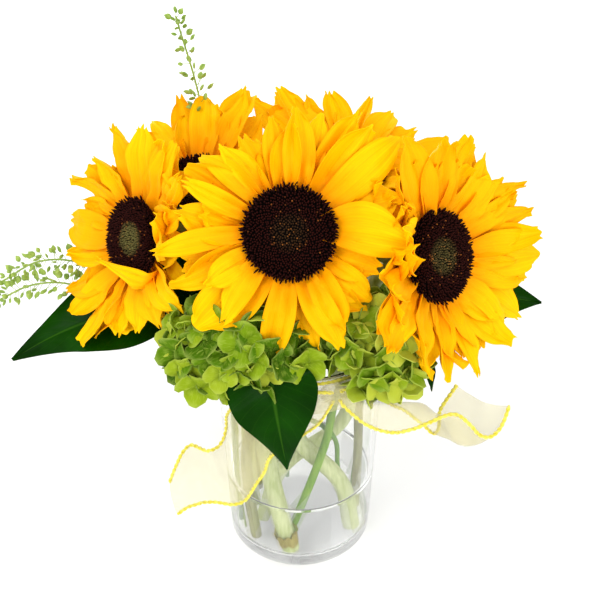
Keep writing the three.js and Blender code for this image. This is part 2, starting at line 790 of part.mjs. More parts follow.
function sprigSolid({ stand, way, bare, pods }, grow) {
  const steps = 16;
  const stalkPoints = stemPoints(stand, [overRim(way[0]), ...way.map(vec)]);
  const spine = new THREE.CatmullRomCurve3(stalkPoints, false, 'centripetal').getSpacedPoints(steps);
  const parts = [tube(stalkPoints, SPRIG_STALK + grow, 4, steps)];
  for (let k = 0; k < pods; k++) {
    const s = (bare + ((1 - bare) * (k + 0.5)) / pods) * steps;
    const [low, high] = [spine[Math.floor(s)], spine[Math.ceil(s)]];
    const root = low.clone().lerp(high, s % 1);
    const along = high.clone().sub(low).normalize();
    const turn = k * 2.4;
    const across = along.clone().cross(new THREE.Vector3(0, 1, 0.2)).normalize();
    const aside = across.clone().applyAxisAngle(along, turn);
    const reach = POD.stalk * (1.25 - 0.6 * (k / pods)) * (0.85 + 0.3 * draw(k, 11));
    const towards = aside.clone().multiplyScalar(0.85).addScaledVector(along, 0.5).normalize();
    const end = root.clone().addScaledVector(towards, reach);
    const flat = towards.clone().cross(along).normalize();
    parts.push(tube([root, end], POD_STALK + grow, 3, 1), podSolid(end, flat, towards, grow));
  }
  return union(parts);
}

// ---- ribbon ----
// A closed skin through loops of points of one length, capped at both ends.
function loft(loops) {
  const n = loops[0].length;
  const positions = loops.flat().flatMap((p) => p.toArray());
  const triangles = [];
  for (let i = 0; i + 1 < loops.length; i++) {
    for (let k = 0; k < n; k++) {
      const [a, b] = [i * n + k, i * n + ((k + 1) % n)];
      triangles.push(a, b, a + n, b, b + n, a + n);
    }
  }
  const last = (loops.length - 1) * n;
  for (let k = 1; k < n / 2; k++) {
    const [a, b, c, d] = [k, k + 1, n - k, (n - k + 1) % n];
    triangles.push(a, d, c, last + a, last + c, last + d);
    if (b !== c) triangles.push(a, c, b, last + a, last + b, last + c);
  }
  return solidFrom(positions, triangles);
}

// The section of a tail at one row: a thin web with a thick cord along each edge.
function tailSection(row, along, grow) {
  const [upper, middle, lower] = row.map(vec);
  const across = lower.clone().sub(upper).normalize();
  const face = along.clone().cross(across).normalize();
  const half = RIBBON.cloth / 2 + grow;
  const cord = RIBBON.edge + grow;
  const at = (from, sideways, outwards) =>
    from.clone().addScaledVector(across, sideways).addScaledVector(face, outwards);
  const inner = RIBBON.edge + 0.3;
  const side = (face) => [
    at(upper, 0, face * cord),
    at(upper, inner, face * half),
    at(middle, 0, face * half),
    at(lower, -inner, face * half),
    at(lower, 0, face * cord),
  ];
  return [at(upper, -cord, 0), ...side(1), at(lower, cord, 0), ...side(-1).reverse()];
}

function ribbonTail(rows, grow) {
  const middles = rows.map((row) => vec(row[1]));
  const loops = rows.map((row, i) => {
    const before = middles[Math.max(0, i - 1)];
    const after = middles[Math.min(rows.length - 1, i + 1)];
    const along = after.clone().sub(before).normalize();
    return tailSection(row, along, grow);
  });
  return loft(loops);
}

function ribbonBand(grow) {
  const { cloth, wrapLow, wrapHigh } = RIBBON;
  const inside = (z) => outerRadius(z) + SEAT_GAP - grow;
  const outside = (z) => outerRadius(z) + SEAT_GAP + cloth + grow;
  const section = [
    [inside(wrapLow), wrapLow - grow],
    [outside(wrapLow), wrapLow - grow],
    [outside(wrapHigh), wrapHigh + grow],
    [inside(wrapHigh), wrapHigh + grow],
    [inside(wrapLow), wrapLow - grow],
  ];
  return lathe(section, VASE.sides);
}

function knotSolid(grow) {
  const [x, y, z] = KNOT.size.map((half) => half + grow);
  return solidOf(new THREE.SphereGeometry(1, 8, 5)).scale([x, y, z]).translate(KNOT.at);
}

// ---- the whole arrangement ----
settle('vase', vaseSolid, GLASS);

const flowerGroups = {};
for (const [name, flower] of Object.entries(SUNFLOWERS)) {
  const group = facingGroup(flower);
  bouquet.add(group);
  flowerGroups[name] = group;
  settle(`sunflower_${name}_stem`, (grow) => sunflowerStem(group, flower.stem, grow), STEM_GREEN, group);
}
for (const [name, head] of Object.entries(HYDRANGEAS)) {
  settle(`hydrangea_${name}_stem`, (grow) => hydrangeaStem(head, grow), WOODY_GREEN);
}
for (const [name, flower] of Object.entries(SUNFLOWERS)) {
  const group = flowerGroups[name];
  const petals = flower.petals.map((petal, k) => bentClear(petal, k % 2, group.matrix.elements));
  settle(`sunflower_${name}_petals`, (grow) => petalRing(petals, grow), PETAL_YELLOW, group);
}
for (const name of Object.keys(SUNFLOWERS)) {
  settle(`sunflower_${name}_disc`, discSolid, DISC_BROWN, flowerGroups[name]);
}
for (const [name, stem] of Object.entries(LEAFY_STEMS)) {
  settle(`leaves_${name}`, (grow) => leafyStem(stem, grow), LEAF_GREEN);
}
for (const [name, sprig] of Object.entries(SPRIGS)) {
  settle(`sprig_${name}`, (grow) => sprigSolid(sprig, grow), SPRIG_GREEN);
}
for (const [name, head] of Object.entries(HYDRANGEAS)) {
  settle(`hydrangea_${name}_florets`, (grow) => hydrangeaHead(head, grow), FLORET_LIME);
}
settle('ribbon_band', ribbonBand, RIBBON_CREAM);
settle('ribbon_knot', knotSolid, RIBBON_CREAM);
for (const [name, rows] of Object.entries(RIBBON_TAILS)) {
  settle(`ribbon_${name}_tail`, (grow) => ribbonTail(rows, grow), RIBBON_CREAM);
}
settle('water', waterSolid, CLEAR_WATER);

export default bouquet;
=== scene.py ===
# %% [markdown]
# # Sunflowers in a glass vase
# Five sunflowers stand with lime green hydrangea, dark leaves and seed-pod sprigs in a clear glass
# cylinder of water, with a sheer ribbon round its neck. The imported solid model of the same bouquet
# is loaded first. Its nodes say where everything is, and each fine piece made below takes the place
# of one of them.

# %% the frame
import random
from contextlib import contextmanager
from math import atan2, cos, degrees, exp, hypot, pi, radians, sin, sqrt
from types import SimpleNamespace

import bmesh
import bpy
from mathutils import Matrix, Vector, noise


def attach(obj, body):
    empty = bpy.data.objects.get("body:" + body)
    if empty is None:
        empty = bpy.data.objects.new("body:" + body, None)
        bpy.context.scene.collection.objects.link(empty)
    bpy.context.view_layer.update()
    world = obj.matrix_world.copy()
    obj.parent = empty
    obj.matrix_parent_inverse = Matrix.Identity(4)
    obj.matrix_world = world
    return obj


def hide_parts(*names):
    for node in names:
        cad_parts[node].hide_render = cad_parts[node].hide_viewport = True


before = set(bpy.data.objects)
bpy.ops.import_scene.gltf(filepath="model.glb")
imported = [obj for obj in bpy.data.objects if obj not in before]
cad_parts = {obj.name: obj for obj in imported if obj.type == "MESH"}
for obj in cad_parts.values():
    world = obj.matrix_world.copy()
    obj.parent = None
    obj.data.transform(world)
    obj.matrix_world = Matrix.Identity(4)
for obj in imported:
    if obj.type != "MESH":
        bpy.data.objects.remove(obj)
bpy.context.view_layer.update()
MM = 0.001
print("nodes in the frame:", len(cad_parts))

# %% [markdown]
# ## Camera, floor and light
# The camera looks down at the bouquet by 31 degrees. A pale floor and a white sky give the flat
# light of a flower shop's picture. A large soft lamp at the left gives the petals their folds. Two
# low ones, in front and behind, shine into the vase, which would else stand in the flowers' shade.

# %% camera
CAMERA_AT = (0, -0.522, 0.504)
CAMERA_TILT = radians(58.8)
bpy.ops.object.camera_add(location=CAMERA_AT, rotation=(CAMERA_TILT, 0, 0))
camera = bpy.context.object
camera.data.lens = 57.5
camera.data.sensor_width = 36
bpy.context.scene.camera = camera
print("camera height:", camera.location.z)

# %% lamps
MIDDLE = Vector((0, 0, 0.18))
LAMPS = {
    "key_lamp": ((-1.3, -1.1, 2.2), 1.2, 20),
    "fill_lamp": ((0.9, -1.9, 0.85), 1.2, 16),
    "back_lamp": ((-1.0, 1.7, 0.75), 1.5, 26),
}
for name, (place, size, power) in LAMPS.items():
    turn = (MIDDLE - Vector(place)).to_track_quat("-Z", "Y").to_euler()
    bpy.ops.object.light_add(type="AREA", location=place, rotation=turn)
    lamp = bpy.context.object
    lamp.name, lamp.data.size, lamp.data.energy = name, size, power
bpy.context.scene.view_settings.view_transform = "Standard"
print("lamps:", len(LAMPS))

# %% [markdown]
# ## Small helpers for finishes
# A finish is a node tree round one Principled shader, and the helpers draw on the newest tree. A
# node is added with its settings and inputs in one call. Most patterns are masks: noise or a wave
# is cut to black and white, and a colour is laid over another where the mask is white.

# %% finish helpers
def ink(code):
    """A colour written as six hex digits, as the shader wants it."""
    parts = [int(code[i : i + 2], 16) / 255 for i in (0, 2, 4)]
    return (*(c / 12.92 if c <= 0.04045 else ((c + 0.055) / 1.055) ** 2.4 for c in parts), 1.0)


def new_finish(name, **sockets):
    """A material with its shader's sockets set by name, and the tree that is drawn on next."""
    global tree, shader
    finish = bpy.data.materials.new(name)
    finish.use_nodes = True
    tree = finish.node_tree
    shader = tree.nodes["Principled BSDF"]
    for socket, value in sockets.items():
        shader.inputs[socket.replace("_", " ")].default_value = value
    return finish


def add(kind, settings=None, inputs=None, out=0):
    """Adds a node and gives back one of its outputs."""
    node = tree.nodes.new("ShaderNode" + kind)
    for key, value in (settings or {}).items():
        setattr(node, key, value)
    for key, value in (inputs or {}).items():
        if isinstance(value, bpy.types.NodeSocket):
            tree.links.new(value, node.inputs[key])
        else:
            node.inputs[key].default_value = value
    return node.outputs[out]


def ramp(amount, *stops):
    """Colours along a scale from 0 to 1, each with its place."""
    node = tree.nodes.new("ShaderNodeValToRGB")
    tree.links.new(amount, node.inputs[0])
    band = node.color_ramp.elements
    for place, code in stops[1:-1]:
        band.new(place).color = ink(code)
    for stop, (place, code) in zip((band[0], band[len(band) - 1]), (stops[0], stops[-1])):
        stop.position, stop.color = place, ink(code)
    return node.outputs[0]


def mask(amount, black, white):
    """Black at one place of a scale and white at another, either way round."""
    return ramp(amount, *sorted([(black, "000000"), (white, "ffffff")]))


def mix(amount, first, second):
    """Mixes two colours by an amount from 0 to 1."""
    return add("Mix", {"data_type": "RGBA"}, {0: amount, 6: first, 7: second}, 2)


def sums(operation, *values):
    """Arithmetic on numbers and outputs."""
    return add("Math", {"operation": operation}, dict(enumerate(values)))


def tint(base, amount, share, code):
    """Lays a colour over another where a mask is white, as thick as its share."""
    return mix(sums("MULTIPLY", amount, share), base, ink(code))


def here():
    """The place in the object's own coordinates."""
    return add("TexCoord", out=3)


def uv_parts():
    """The UV map, and its parts across the blade and along it."""
    flat = add("UVMap", {"uv_map": "UVMap"})
    return flat, *(add("SeparateXYZ", None, {0: flat}, part) for part in (0, 1))


def stretched(source, scale):
    """Coordinates stretched by a scale along each axis."""
    return add("Mapping", None, {"Vector": source, "Scale": scale})


def grain(coordinates, scale, detail=3.0):
    """Fine soft noise from 0 to 1."""
    return add("TexNoise", None, {"Vector": coordinates, "Scale": scale, "Detail": detail})


def mark(name="tone"):
    """The number that each copy of a petal or floret was given, from 0 to 1."""
    return add("Attribute", {"attribute_name": name}, None, 2)


def coat(colour, height=None, strength=0, distance=0):
    """Gives the shader its colour, and a surface raised by a pattern."""
    tree.links.new(colour, shader.inputs["Base Color"])
    if height:
        inputs = {"Height": height, "Strength": strength, "Distance": distance}
        tree.links.new(add("Bump", None, inputs), shader.inputs["Normal"])


print("helpers for finishes are ready")

# %% [markdown]
# ## The sky
# The sky is brightest a little above the horizon, so that light reaches in under the flowers as it
# does from a studio's walls. A sky that varies also draws the shadow rays to it, and those pass the
# clear vase, so the water and the stems are lit.

# %% white sky
sky = bpy.data.worlds.new("sky")
sky.use_nodes = True
tree = sky.node_tree
height_up = add("SeparateXYZ", None, {0: here()}, 2)
from_below = sums("MULTIPLY_ADD", height_up, 0.5, 0.5)
sky_light = ramp(from_below, (0.5, "e6e6e6"), (0.62, "ffffff"), (1.0, "dedede"))
tree.links.new(sky_light, tree.nodes["Background"].inputs["Color"])
tree.nodes["Background"].inputs["Strength"].default_value = 1.17
bpy.context.scene.world = sky
print("sky:", sky.name)

# %% [markdown]
# ## Petal, disc and stem finishes
# A ray petal is golden yellow with fine veins along it. Its deeper orange where it leaves the
# disc is painted shade, and so is the orange in the valleys of its grooves. The disc is nearly
# black brown, its florets' tips are red-brown, and a few carry gold pollen. A cut stem in water is
# pale green with fine ribs, one young stem is a fresher green, and the bracts are a leafy green.

# %% petal finish
petal_finish = new_finish("petal_yellow", Roughness=0.6, Specular_IOR_Level=0.05)
petal_uv, across, along = uv_parts()
# painted shade: deep orange at the petal's root, near the disc, turning golden yellow to the tip
yellow = ramp(along, (0.0, "e57e00"), (0.28, "f8a600"), (0.55, "ffc100"), (1.0, "ffcf00"))
veins = grain(stretched(petal_uv, (30, 1.6, 1)), 1.0)
veined = tint(yellow, mask(veins, 0.4, 0.62), 0.3, "e88c00")
# painted shade: orange laid into the valleys of the petal's lengthwise grooves
valleys = sums("COSINE", sums("MULTIPLY_ADD", across, 18.8, -9.4))
fold_shade_mask = mask(sums("MULTIPLY_ADD", valleys, -0.5, 0.5), 0.6, 1)
folded = tint(veined, fold_shade_mask, 0.16, "f09a00")
coat(tint(folded, mark(), 0.55, "f4a200"), veins, 0.35, 0.0005)
print("petal finish:", petal_finish.name)

# %% disc finish
disc_finish = new_finish("disc_brown", Roughness=0.8, Specular_IOR_Level=0.06)
_, _, height_up = uv_parts()
dark = ramp(height_up, (0.0, "070202"), (0.55, "180706"), (1.0, "37130e"))
specked = tint(dark, mask(height_up, 0.6, 0.85), mark("gold"), "a5602a")
olive = ramp(height_up, (0.0, "1f1b0a"), (1.0, "87824a"))
coat(mix(mark("green"), specked, olive), grain(here(), 1800.0), 0.4, 0.0003)
print("disc finish:", disc_finish.name)

# %% stem finish
def plant_finish(name, pale, deep, roughness, shine, stretch):
    """A plant skin: two greens in long streaks, with fine ribs, and a leafy green on bracts."""
    finish = new_finish(name, Roughness=roughness, Specular_IOR_Level=shine)
    streaks = grain(stretched(here(), (1, 1, stretch)), 420.0)
    broad = sums("MULTIPLY", grain(here(), 40.0, 2.0), 0.4)
    skin = ramp(sums("MULTIPLY_ADD", streaks, 0.6, broad), (0.35, deep), (0.65, pale))
    coat(mix(mark("leafy"), skin, ink("57752a")), streaks, 0.3, 0.0003)
    return finish


stem_finish = plant_finish("stem_green", "d0d6a4", "a6b272", 0.6, 0.2, 0.08)
fresh_finish = plant_finish("stem_fresh", "86a83e", "5f8a2a", 0.6, 0.2, 0.08)
peel_finish = plant_finish("stem_peel", "b5aa5e", "85793a", 0.75, 0.1, 0.12)
woody_finish = plant_finish("woody_stem", "a3a36b", "6c6b3c", 0.75, 0.3, 0.12)
twig_finish = plant_finish("sprig_green", "a9c05c", "6f8f33", 0.6, 0.3, 0.3)
print("plant finishes: 5")

# %% [markdown]
# ## Floret and leaf finishes
# A hydrangea sepal is matt lime green and paler at its rim. It is darker where it dips to the
# middle of the floret, and that darker green is painted shade. A florist's leaf is dark and waxy:
# paler veins run from the midrib to the edge.

# %% floret finish
floret_finish = new_finish("floret_lime", Roughness=0.65, Specular_IOR_Level=0.05)
sepal_uv, across, outward = uv_parts()
lime = ramp(mark(), (0.0, "345a05"), (0.35, "5b800a"), (0.7, "8aa219"), (1.0, "b1bb38"))
# painted shade: darker green towards the middle of the floret, where the sepals dip
shaded = tint(lime, mask(outward, 0.5, 0.0), 0.6, "2c4a08")
sepal_veins = grain(stretched(sepal_uv, (11, 2.5, 1)), 1.2)
veined = tint(shaded, mask(sepal_veins, 0.5, 0.66), 0.25, "b4c650")
from_side = sums("ABSOLUTE", sums("SUBTRACT", across, 0.5))
rim_way = sums("MAXIMUM", sums("MULTIPLY", from_side, 2.0), outward)
coat(tint(veined, mask(rim_way, 0.8, 1.0), 0.28, "c4d16a"), sepal_veins, 0.4, 0.0005)
print("floret finish:", floret_finish.name)

# %% leaf finish
leaf_finish = new_finish("leaf_green", Roughness=0.2, Specular_IOR_Level=0.035)
_, across, along = uv_parts()
from_rib = sums("ABSOLUTE", sums("SUBTRACT", across, 0.5))
slant = sums("SUBTRACT", sums("MULTIPLY", along, 9.0), sums("MULTIPLY", from_rib, 4.0))
wave = sums("ABSOLUTE", sums("SUBTRACT", sums("FRACT", slant), 0.5))
side_line = sums("MULTIPLY", mask(wave, 0.05, 0.0), 0.22)
vein_lines = sums("MAXIMUM", mask(from_rib, 0.03, 0.008), side_line)
leaf_base = ramp(grain(here(), 30.0), (0.35, "072800"), (0.7, "104000"))
blade_colour = tint(leaf_base, vein_lines, 0.35, "3f7018")
leaf_colour = mix(mark("leafy"), ink("6b9040"), blade_colour)
coat(leaf_colour, grain(here(), 900.0), 0.15, 0.0004)
print("leaf finish:", leaf_finish.name)

# %% [markdown]
# ## Glass, water and ribbon finishes
# Glass and water are clear, and what they show is bent light. Rays that test for shadow see the
# mixed-in see-through shader instead, so a clear wall throws no black shadow. The ribbon is sheer:
# its open weave lets most of the light by, and the folds look denser.

# %% glass and water
def clear_finish(name, alpha, ior):
    """A clear solid that lets lamp light through to what it holds."""
    clear = {"Base_Color": (0.985, 0.99, 0.985, 1), "Transmission_Weight": 1.0, "Alpha": alpha}
    finish = new_finish(name, **clear, Roughness=0.0, IOR=ior)
    see_through = add("BsdfTransparent")
    for_shadow = add("LightPath", out="Is Shadow Ray")
    both = add("MixShader", None, {0: for_shadow, 1: shader.outputs[0], 2: see_through})
    tree.links.new(both, tree.nodes["Material Output"].inputs["Surface"])
    return finish


glass_finish = clear_finish("vase_glass", 1.0, 1.47)
water_finish = clear_finish("water", 0.3, 1.33)
print("clear finishes: 2")

# %% ribbon finish
ribbon_finish = new_finish("ribbon_sheer", Roughness=0.5, Sheen_Weight=0.3)
cloth_uv, _, _ = uv_parts()
threads, picks = (
    add("TexWave", {"bands_direction": way}, {"Vector": cloth_uv, "Scale": scale})
    for way, scale in (("X", 60.0), ("Y", 150.0))
)
weave = sums("MAXIMUM", threads, picks)
coat(mix(weave, ink("cfc47c"), ink("dfd8a6")))
tree.links.new(sums("MULTIPLY_ADD", weave, 0.24, 0.11), shader.inputs["Alpha"])
cord_finish = new_finish("ribbon_cord", Roughness=0.5, Sheen_Weight=0.3)
cord_colour = ramp(grain(here(), 500.0), (0.35, "e0cf2a"), (0.7, "f4ec62"))
coat(cord_colour, grain(here(), 2500.0), 0.3, 0.0003)
print("ribbon finishes: 2")

# %% floor
bpy.ops.mesh.primitive_plane_add(size=8)
floor = bpy.context.object
floor.name = "floor"
floor.data.materials.append(new_finish("pale_floor", Roughness=0.9))
coat(ramp(grain(here(), 3.0), (0.3, "f3f3f3"), (0.7, "f6f6f5")))
print("floor is stage")

# %% [markdown]
# ## Modelling helpers
# A petal, a leaf and a sepal are all blades: a flat grid whose rows are scaled to an outline. The
# blade is modelled once. Its copies are bent to their places point by point, because no two petals
# bend alike, and all copies of one flower are gathered into one mesh.

# %% modelling helpers
def only(*pieces):
    """Selects these pieces and nothing else. The first is the active one."""
    bpy.ops.object.select_all(action="DESELECT")
    for piece in pieces:
        piece.select_set(True)
    bpy.context.view_layer.objects.active = pieces[0]


def fresh(kind, **settings):
    """Adds a primitive with nothing else selected."""
    bpy.ops.object.select_all(action="DESELECT")
    getattr(bpy.ops.mesh, f"primitive_{kind}_add")(**settings)
    return bpy.context.object


def linked(name, data):
    """A new piece from a mesh or a curve, the only one selected."""
    piece = bpy.data.objects.new(name, data)
    bpy.context.collection.objects.link(piece)
    only(piece)
    return piece


@contextmanager
def editing(piece):
    """Edit mode for one piece, all its points selected."""
    only(piece)
    bpy.ops.object.mode_set(mode="EDIT")
    bpy.ops.mesh.select_mode(type="VERT")
    bpy.ops.mesh.select_all(action="SELECT")
    yield bmesh.from_edit_mesh(piece.data)
    bpy.ops.object.mode_set(mode="OBJECT")


def pick(piece, test):
    """In edit mode, selects the points that pass a test."""
    mesh = bmesh.from_edit_mesh(piece.data)
    for vertex in mesh.verts:
        vertex.select = test(vertex.co)
    mesh.select_flush_mode()
    bmesh.update_edit_mesh(piece.data)


def thicken(piece, thickness, offset=0):
    """Gives a skin its thickness."""
    only(piece)
    bpy.ops.object.modifier_add(type="SOLIDIFY")
    solid = piece.modifiers[-1]
    solid.thickness, solid.offset = thickness, offset
    bpy.ops.object.modifier_apply(modifier=solid.name)


def join(name, parts):
    """Joins parts into one piece."""
    only(*parts)
    bpy.ops.object.join()
    parts[0].name = name
    return parts[0]


def stand_for(piece, finish, slot, *nodes, sharp=50):
    """Shades a piece smooth up to an angle, and gives it its finish and its CAD nodes."""
    only(piece)
    bpy.ops.object.shade_smooth_by_angle(angle=radians(sharp))
    piece.data.materials.clear()
    piece.data.materials.append(finish)
    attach(piece, "root")
    if nodes:
        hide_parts(*nodes)
    print(piece.name, "faces:", len(piece.data.polygons))


def flat_blade(name, columns, rows, outline):
    """A flat blade one unit long, its rows scaled to an outline.

    Its points come with it, each as: how far aside, how far along, its share of the rim.
    """
    blade = fresh("grid", x_subdivisions=columns, y_subdivisions=rows, size=2)
    blade.name = name
    with editing(blade) as mesh:
        bpy.ops.transform.translate(value=(0, 1, 0))
        bpy.ops.transform.resize(value=(1, 0.5, 1), center_override=(0, 0, 0))
        for height in sorted({round(v.co.y, 4) for v in mesh.verts}):
            pick(blade, lambda co: abs(co.y - height) < 0.001)
            scale = (outline(height), 1, 1)
            bpy.ops.transform.resize(value=scale, center_override=(0, height, 0))
    points = [v.co for v in blade.data.vertices]
    return blade, [(co.x, co.y, co.x / outline(co.y)) for co in points]


def gather(name, template, placings, **marks):
    """One mesh from copies of a template, each with its own points and marks."""
    count = len(template.data.vertices)
    faces = [tuple(p.vertices) for p in template.data.polygons]
    mesh = bpy.data.meshes.new(name)
    points = [tuple(p) for placed in placings for p in placed]
    copies = range(len(placings))
    mesh.from_pydata(points, [], [tuple(i + k * count for i in f) for k in copies for f in faces])
    corners = [c for loop in template.data.uv_layers[0].data for c in loop.uv]
    mesh.uv_layers.new(name="UVMap").data.foreach_set("uv", corners * len(placings))
    for key, values in marks.items():
        attribute = mesh.attributes.new(key, "FLOAT", "POINT")
        attribute.data.foreach_set("value", [v for v in values for _ in range(count)])
    return linked(name, mesh)


def tube(name, points, radius, resolution=3, steps=6):
    """A round tube along smooth points, closed at its ends."""
    curve = bpy.data.curves.new(name, "CURVE")
    curve.dimensions = "3D"
    curve.bevel_depth = radius
    curve.bevel_resolution = resolution
    curve.resolution_u = steps
    curve.use_fill_caps = True
    spline = curve.splines.new("BEZIER")
    spline.bezier_points.add(len(points) - 1)
    for knot, point in zip(spline.bezier_points, points):
        knot.co = point
        knot.handle_left_type = knot.handle_right_type = "AUTO"
    linked(name, curve)
    bpy.ops.object.convert(target="MESH")
    return bpy.context.object


def turned(name, profile, steps=96):
    """A profile of (radius, height) spun round the upright axis into a closed skin."""
    mesh = bpy.data.meshes.new(name)
    edges = [(i, i + 1) for i in range(len(profile) - 1)]
    mesh.from_pydata([(r, 0, z) for r, z in profile], edges, [])
    piece = linked(name, mesh)
    with editing(piece):
        bpy.ops.mesh.spin(steps=steps, angle=2 * pi, center=(0, 0, 0), axis=(0, 0, 1))
        bpy.ops.mesh.select_all(action="SELECT")
        bpy.ops.mesh.remove_doubles(threshold=1e-6)
        bpy.ops.mesh.normals_make_consistent(inside=False)
    return piece


def arc(start, bend, end, s):
    """A place on a smooth arc that is drawn towards its bend."""
    return start * (1 - s) ** 2 + bend * 2 * s * (1 - s) + end * s ** 2


def aimed(way):
    """A turn that points a piece's upright axis some way."""
    return way.to_track_quat("Z", "Y").to_matrix().to_4x4()


print("helpers for modelling are ready")

# %% [markdown]
# ## Where the flowers are
# Each sunflower has a place in millimetres, a turn to the right, a rise above the horizon, and its
# petals. A petal is its clock angle, how far its tip reaches, its width, how far the tip lifts
# towards the viewer, its bow and, where it has one, its sideways sway. They are the solid model's
# own.

# %% the flowers' numbers
SUNFLOWERS = {
    "front": {
        "at": (-6, -34, 253), "turn": 0, "rise": 29, "green": 0.1,
        "stem": (6, ((36, -15), (28, -16), (-5, -12), (2, -8))),
        "petals": [
            (8, 68, 25, 14, 8, -14), (26, 67, 24, 9, 5), (45, 83, 25, 7, 4), (67, 79, 20, 4, 2, -3),
            (88, 71, 22, 6, 3), (106, 67, 20, 4, 3, 2), (128, 67, 17, 7, 2), (142, 70, 15, 1, 2, 2),
            (156, 66, 10, 8, 3), (171, 60, 11, 2, 2), (181, 78, 11, 3, 0, 6), (204, 75, 17, 1, 3),
            (217, 62, 22, 8, 4), (231, 76, 25, 2, 5), (265, 74, 15, 5, 6), (281, 72, 14, -2, 2),
            (296, 72, 22, 6, 7), (325, 61, 26, 5, 5),
        ],
    },
    "right": {
        "at": (80, -25, 233), "turn": 43, "rise": 22, "green": 0.45,
        "stem": (5, ((-27, -8), (-13, -2), (31, 1), (26, -14))),
        "petals": [
            (342, 84, 24, 20, 2), (359, 80, 22, 20, 2), (10, 76, 12, 14, 2), (18, 74, 17, 18, 2),
            (31, 67, 20, 18, 3), (46, 71, 20, 15, 3), (63, 70, 20, 14, 3), (80, 66, 20, 14, 3),
            (97, 76, 18, 10, 3), (122, 54, 16, 22, 4), (146, 47, 16, 24, 5), (168, 44, 15, 22, 5),
            (186, 62, 15, 20, 4), (202, 74, 18, 15, 4), (220, 71, 18, 12, 4), (250, 75, 17, 12, 3),
            (272, 76, 17, 12, 3), (291, 77, 18, 14, 3), (303, 69, 18, 14, 2), (316, 82, 18, 16, 2),
            (329, 78, 16, 12, 2),
        ],
    },
    "left": {
        "at": (-100, 5, 229), "turn": -47, "rise": 20, "green": 0.9, "disc": 0.92,
        "stem": (6, ((-6, -38), (-15, -36), (-23, -28), (-28, -8))),
        "petals": [
            (194, 69, 20, 10, 3), (176, 56, 15, 8, 2), (164, 66, 18, 8, 2), (150, 63, 18, 8, 2),
            (133, 60, 11, 6, 2, 4), (117, 71, 17, 7, 2), (101, 69, 16, 7, 2), (84, 66, 16, 4, 2),
            (64, 68, 20, 8, 3), (42, 50, 15, 18, 4), (18, 45, 14, 22, 5), (325, 4, 14, 17, 9, -20),
            (328, 60, 17, 8, 3), (311, 57, 18, 6, 4), (294, 58, 16, 4, 3), (267, 76, 22, 8, 4),
            (251, 84, 24, 9, 4), (230, 74, 21, 10, 3), (212, 64, 16, 6, 2),
        ],
    },
    "backLeft": {
        "at": (-66, 45, 242), "turn": -15, "rise": 50, "green": 0.2, "disc": 0.88,
        "stem": (5, ((-34, 8), (-37, 10), (-36, 14), (-22, 20))),
        "petals": [
            (122, 68, 18, 3, 2), (109, 73, 18, 3, 2), (96, 73, 17, 2, 2), (84, 81, 16, 2, 2),
            (74, 80, 14, 0, 2), (62, 68, 16, 2, 2), (140, 62, 18, 3, 2), (170, 54, 16, 4, 2),
            (192, 50, 16, 8, 3), (214, 46, 15, 12, 4), (242, 42, 16, 14, 4), (276, 42, 16, 18, 4),
            (314, 44, 15, 16, 4), (340, 48, 15, 12, 3), (8, 54, 16, 8, 3), (36, 58, 17, 4, 2),
        ],
    },
    "back": {
        "at": (30, 74, 244), "turn": 10, "rise": 62, "green": 0.3,
        "stem": (5, ((-20, 26), (-18, 28), (-8, 32), (14, 34))),
        "petals": [
            (134, 81, 18, 12, 3), (124, 79, 17, 12, 3), (114, 75, 18, 11, 3), (98, 65, 18, 9, 2),
            (83, 65, 16, 6, 2), (69, 67, 9, 12, 2), (47, 62, 16, 10, 4), (27, 62, 16, 10, 4),
            (7, 76, 15, 10, 3), (345, 58, 16, 10, 3), (322, 48, 15, 14, 4), (298, 44, 15, 17, 4),
            (262, 42, 16, 18, 4), (229, 43, 16, 17, 4), (196, 52, 16, 12, 3), (170, 58, 16, 10, 3),
            (152, 62, 16, 10, 3),
        ],
    },
}
for flower in SUNFLOWERS.values():
    flower["petals"] = [(*numbers, 0)[:6] for numbers in flower["petals"]]
print("petals:", sum(len(f["petals"]) for f in SUNFLOWERS.values()))

# %% [markdown]
# ## Petals
# The flat petal is widest a little beyond its middle and ends in a blunt, sometimes notched point.
# A copy is bent by its own numbers, and small random ones groove and ruffle it, roll its sides,
# twist it and curl its tip. Some wide petals are two narrower ones that overlap. Shorter petals
# stand behind and close the gaps.

# %% one flat petal
PETAL_WIDEST = 0.58


def petal_outline(s):
    """Half the width at s along the petal, as a share of its widest."""
    if s < PETAL_WIDEST:
        return 0.42 + 0.58 * sin(s / PETAL_WIDEST * pi / 2)
    beyond = (s - PETAL_WIDEST) / (1 - PETAL_WIDEST)
    return max(0.4, cos(beyond * pi / 2) ** 0.5)


petal, petal_points = flat_blade("flat_petal", 12, 20, petal_outline)
print("points in a petal:", len(petal_points))

# %% petals bent to their flowers
PETAL_ROOT = 18
PETAL_LAYER = 3.4
PETAL_WIDER = 1.25
PETAL_THICK = 0.5
PETAL_CHANCES = {
    "ruffle": (0.6, 2.4), "beats": (6, 13), "phase": (0, 6.3), "twist": (-0.7, 0.7),
    "curl": (-10, 7), "cup": (-0.1, 0.3), "groove": (0.2, 1.1), "shift": (-0.8, 0.8),
    "point": (0.6, 1.15), "teeth": (-2.6, 2.6), "teeth_count": (4, 7.5), "lean": (-8, 8),
    "roll_left": (-3, 5), "roll_right": (-3, 5),
}


def flower_place(flower):
    """The flower's own axes: across, upwards on the face, and out of the face."""
    turn, rise = radians(flower["turn"]), radians(flower["rise"])
    level = cos(rise)
    facing = Vector((sin(turn) * level, -cos(turn) * level, sin(rise)))
    across = Vector((0, 0, 1)).cross(facing).normalized()
    axes = Matrix((across, facing.cross(across), facing)).transposed().to_4x4()
    axes.translation = flower["at"]
    return Matrix.Scale(MM, 4) @ axes


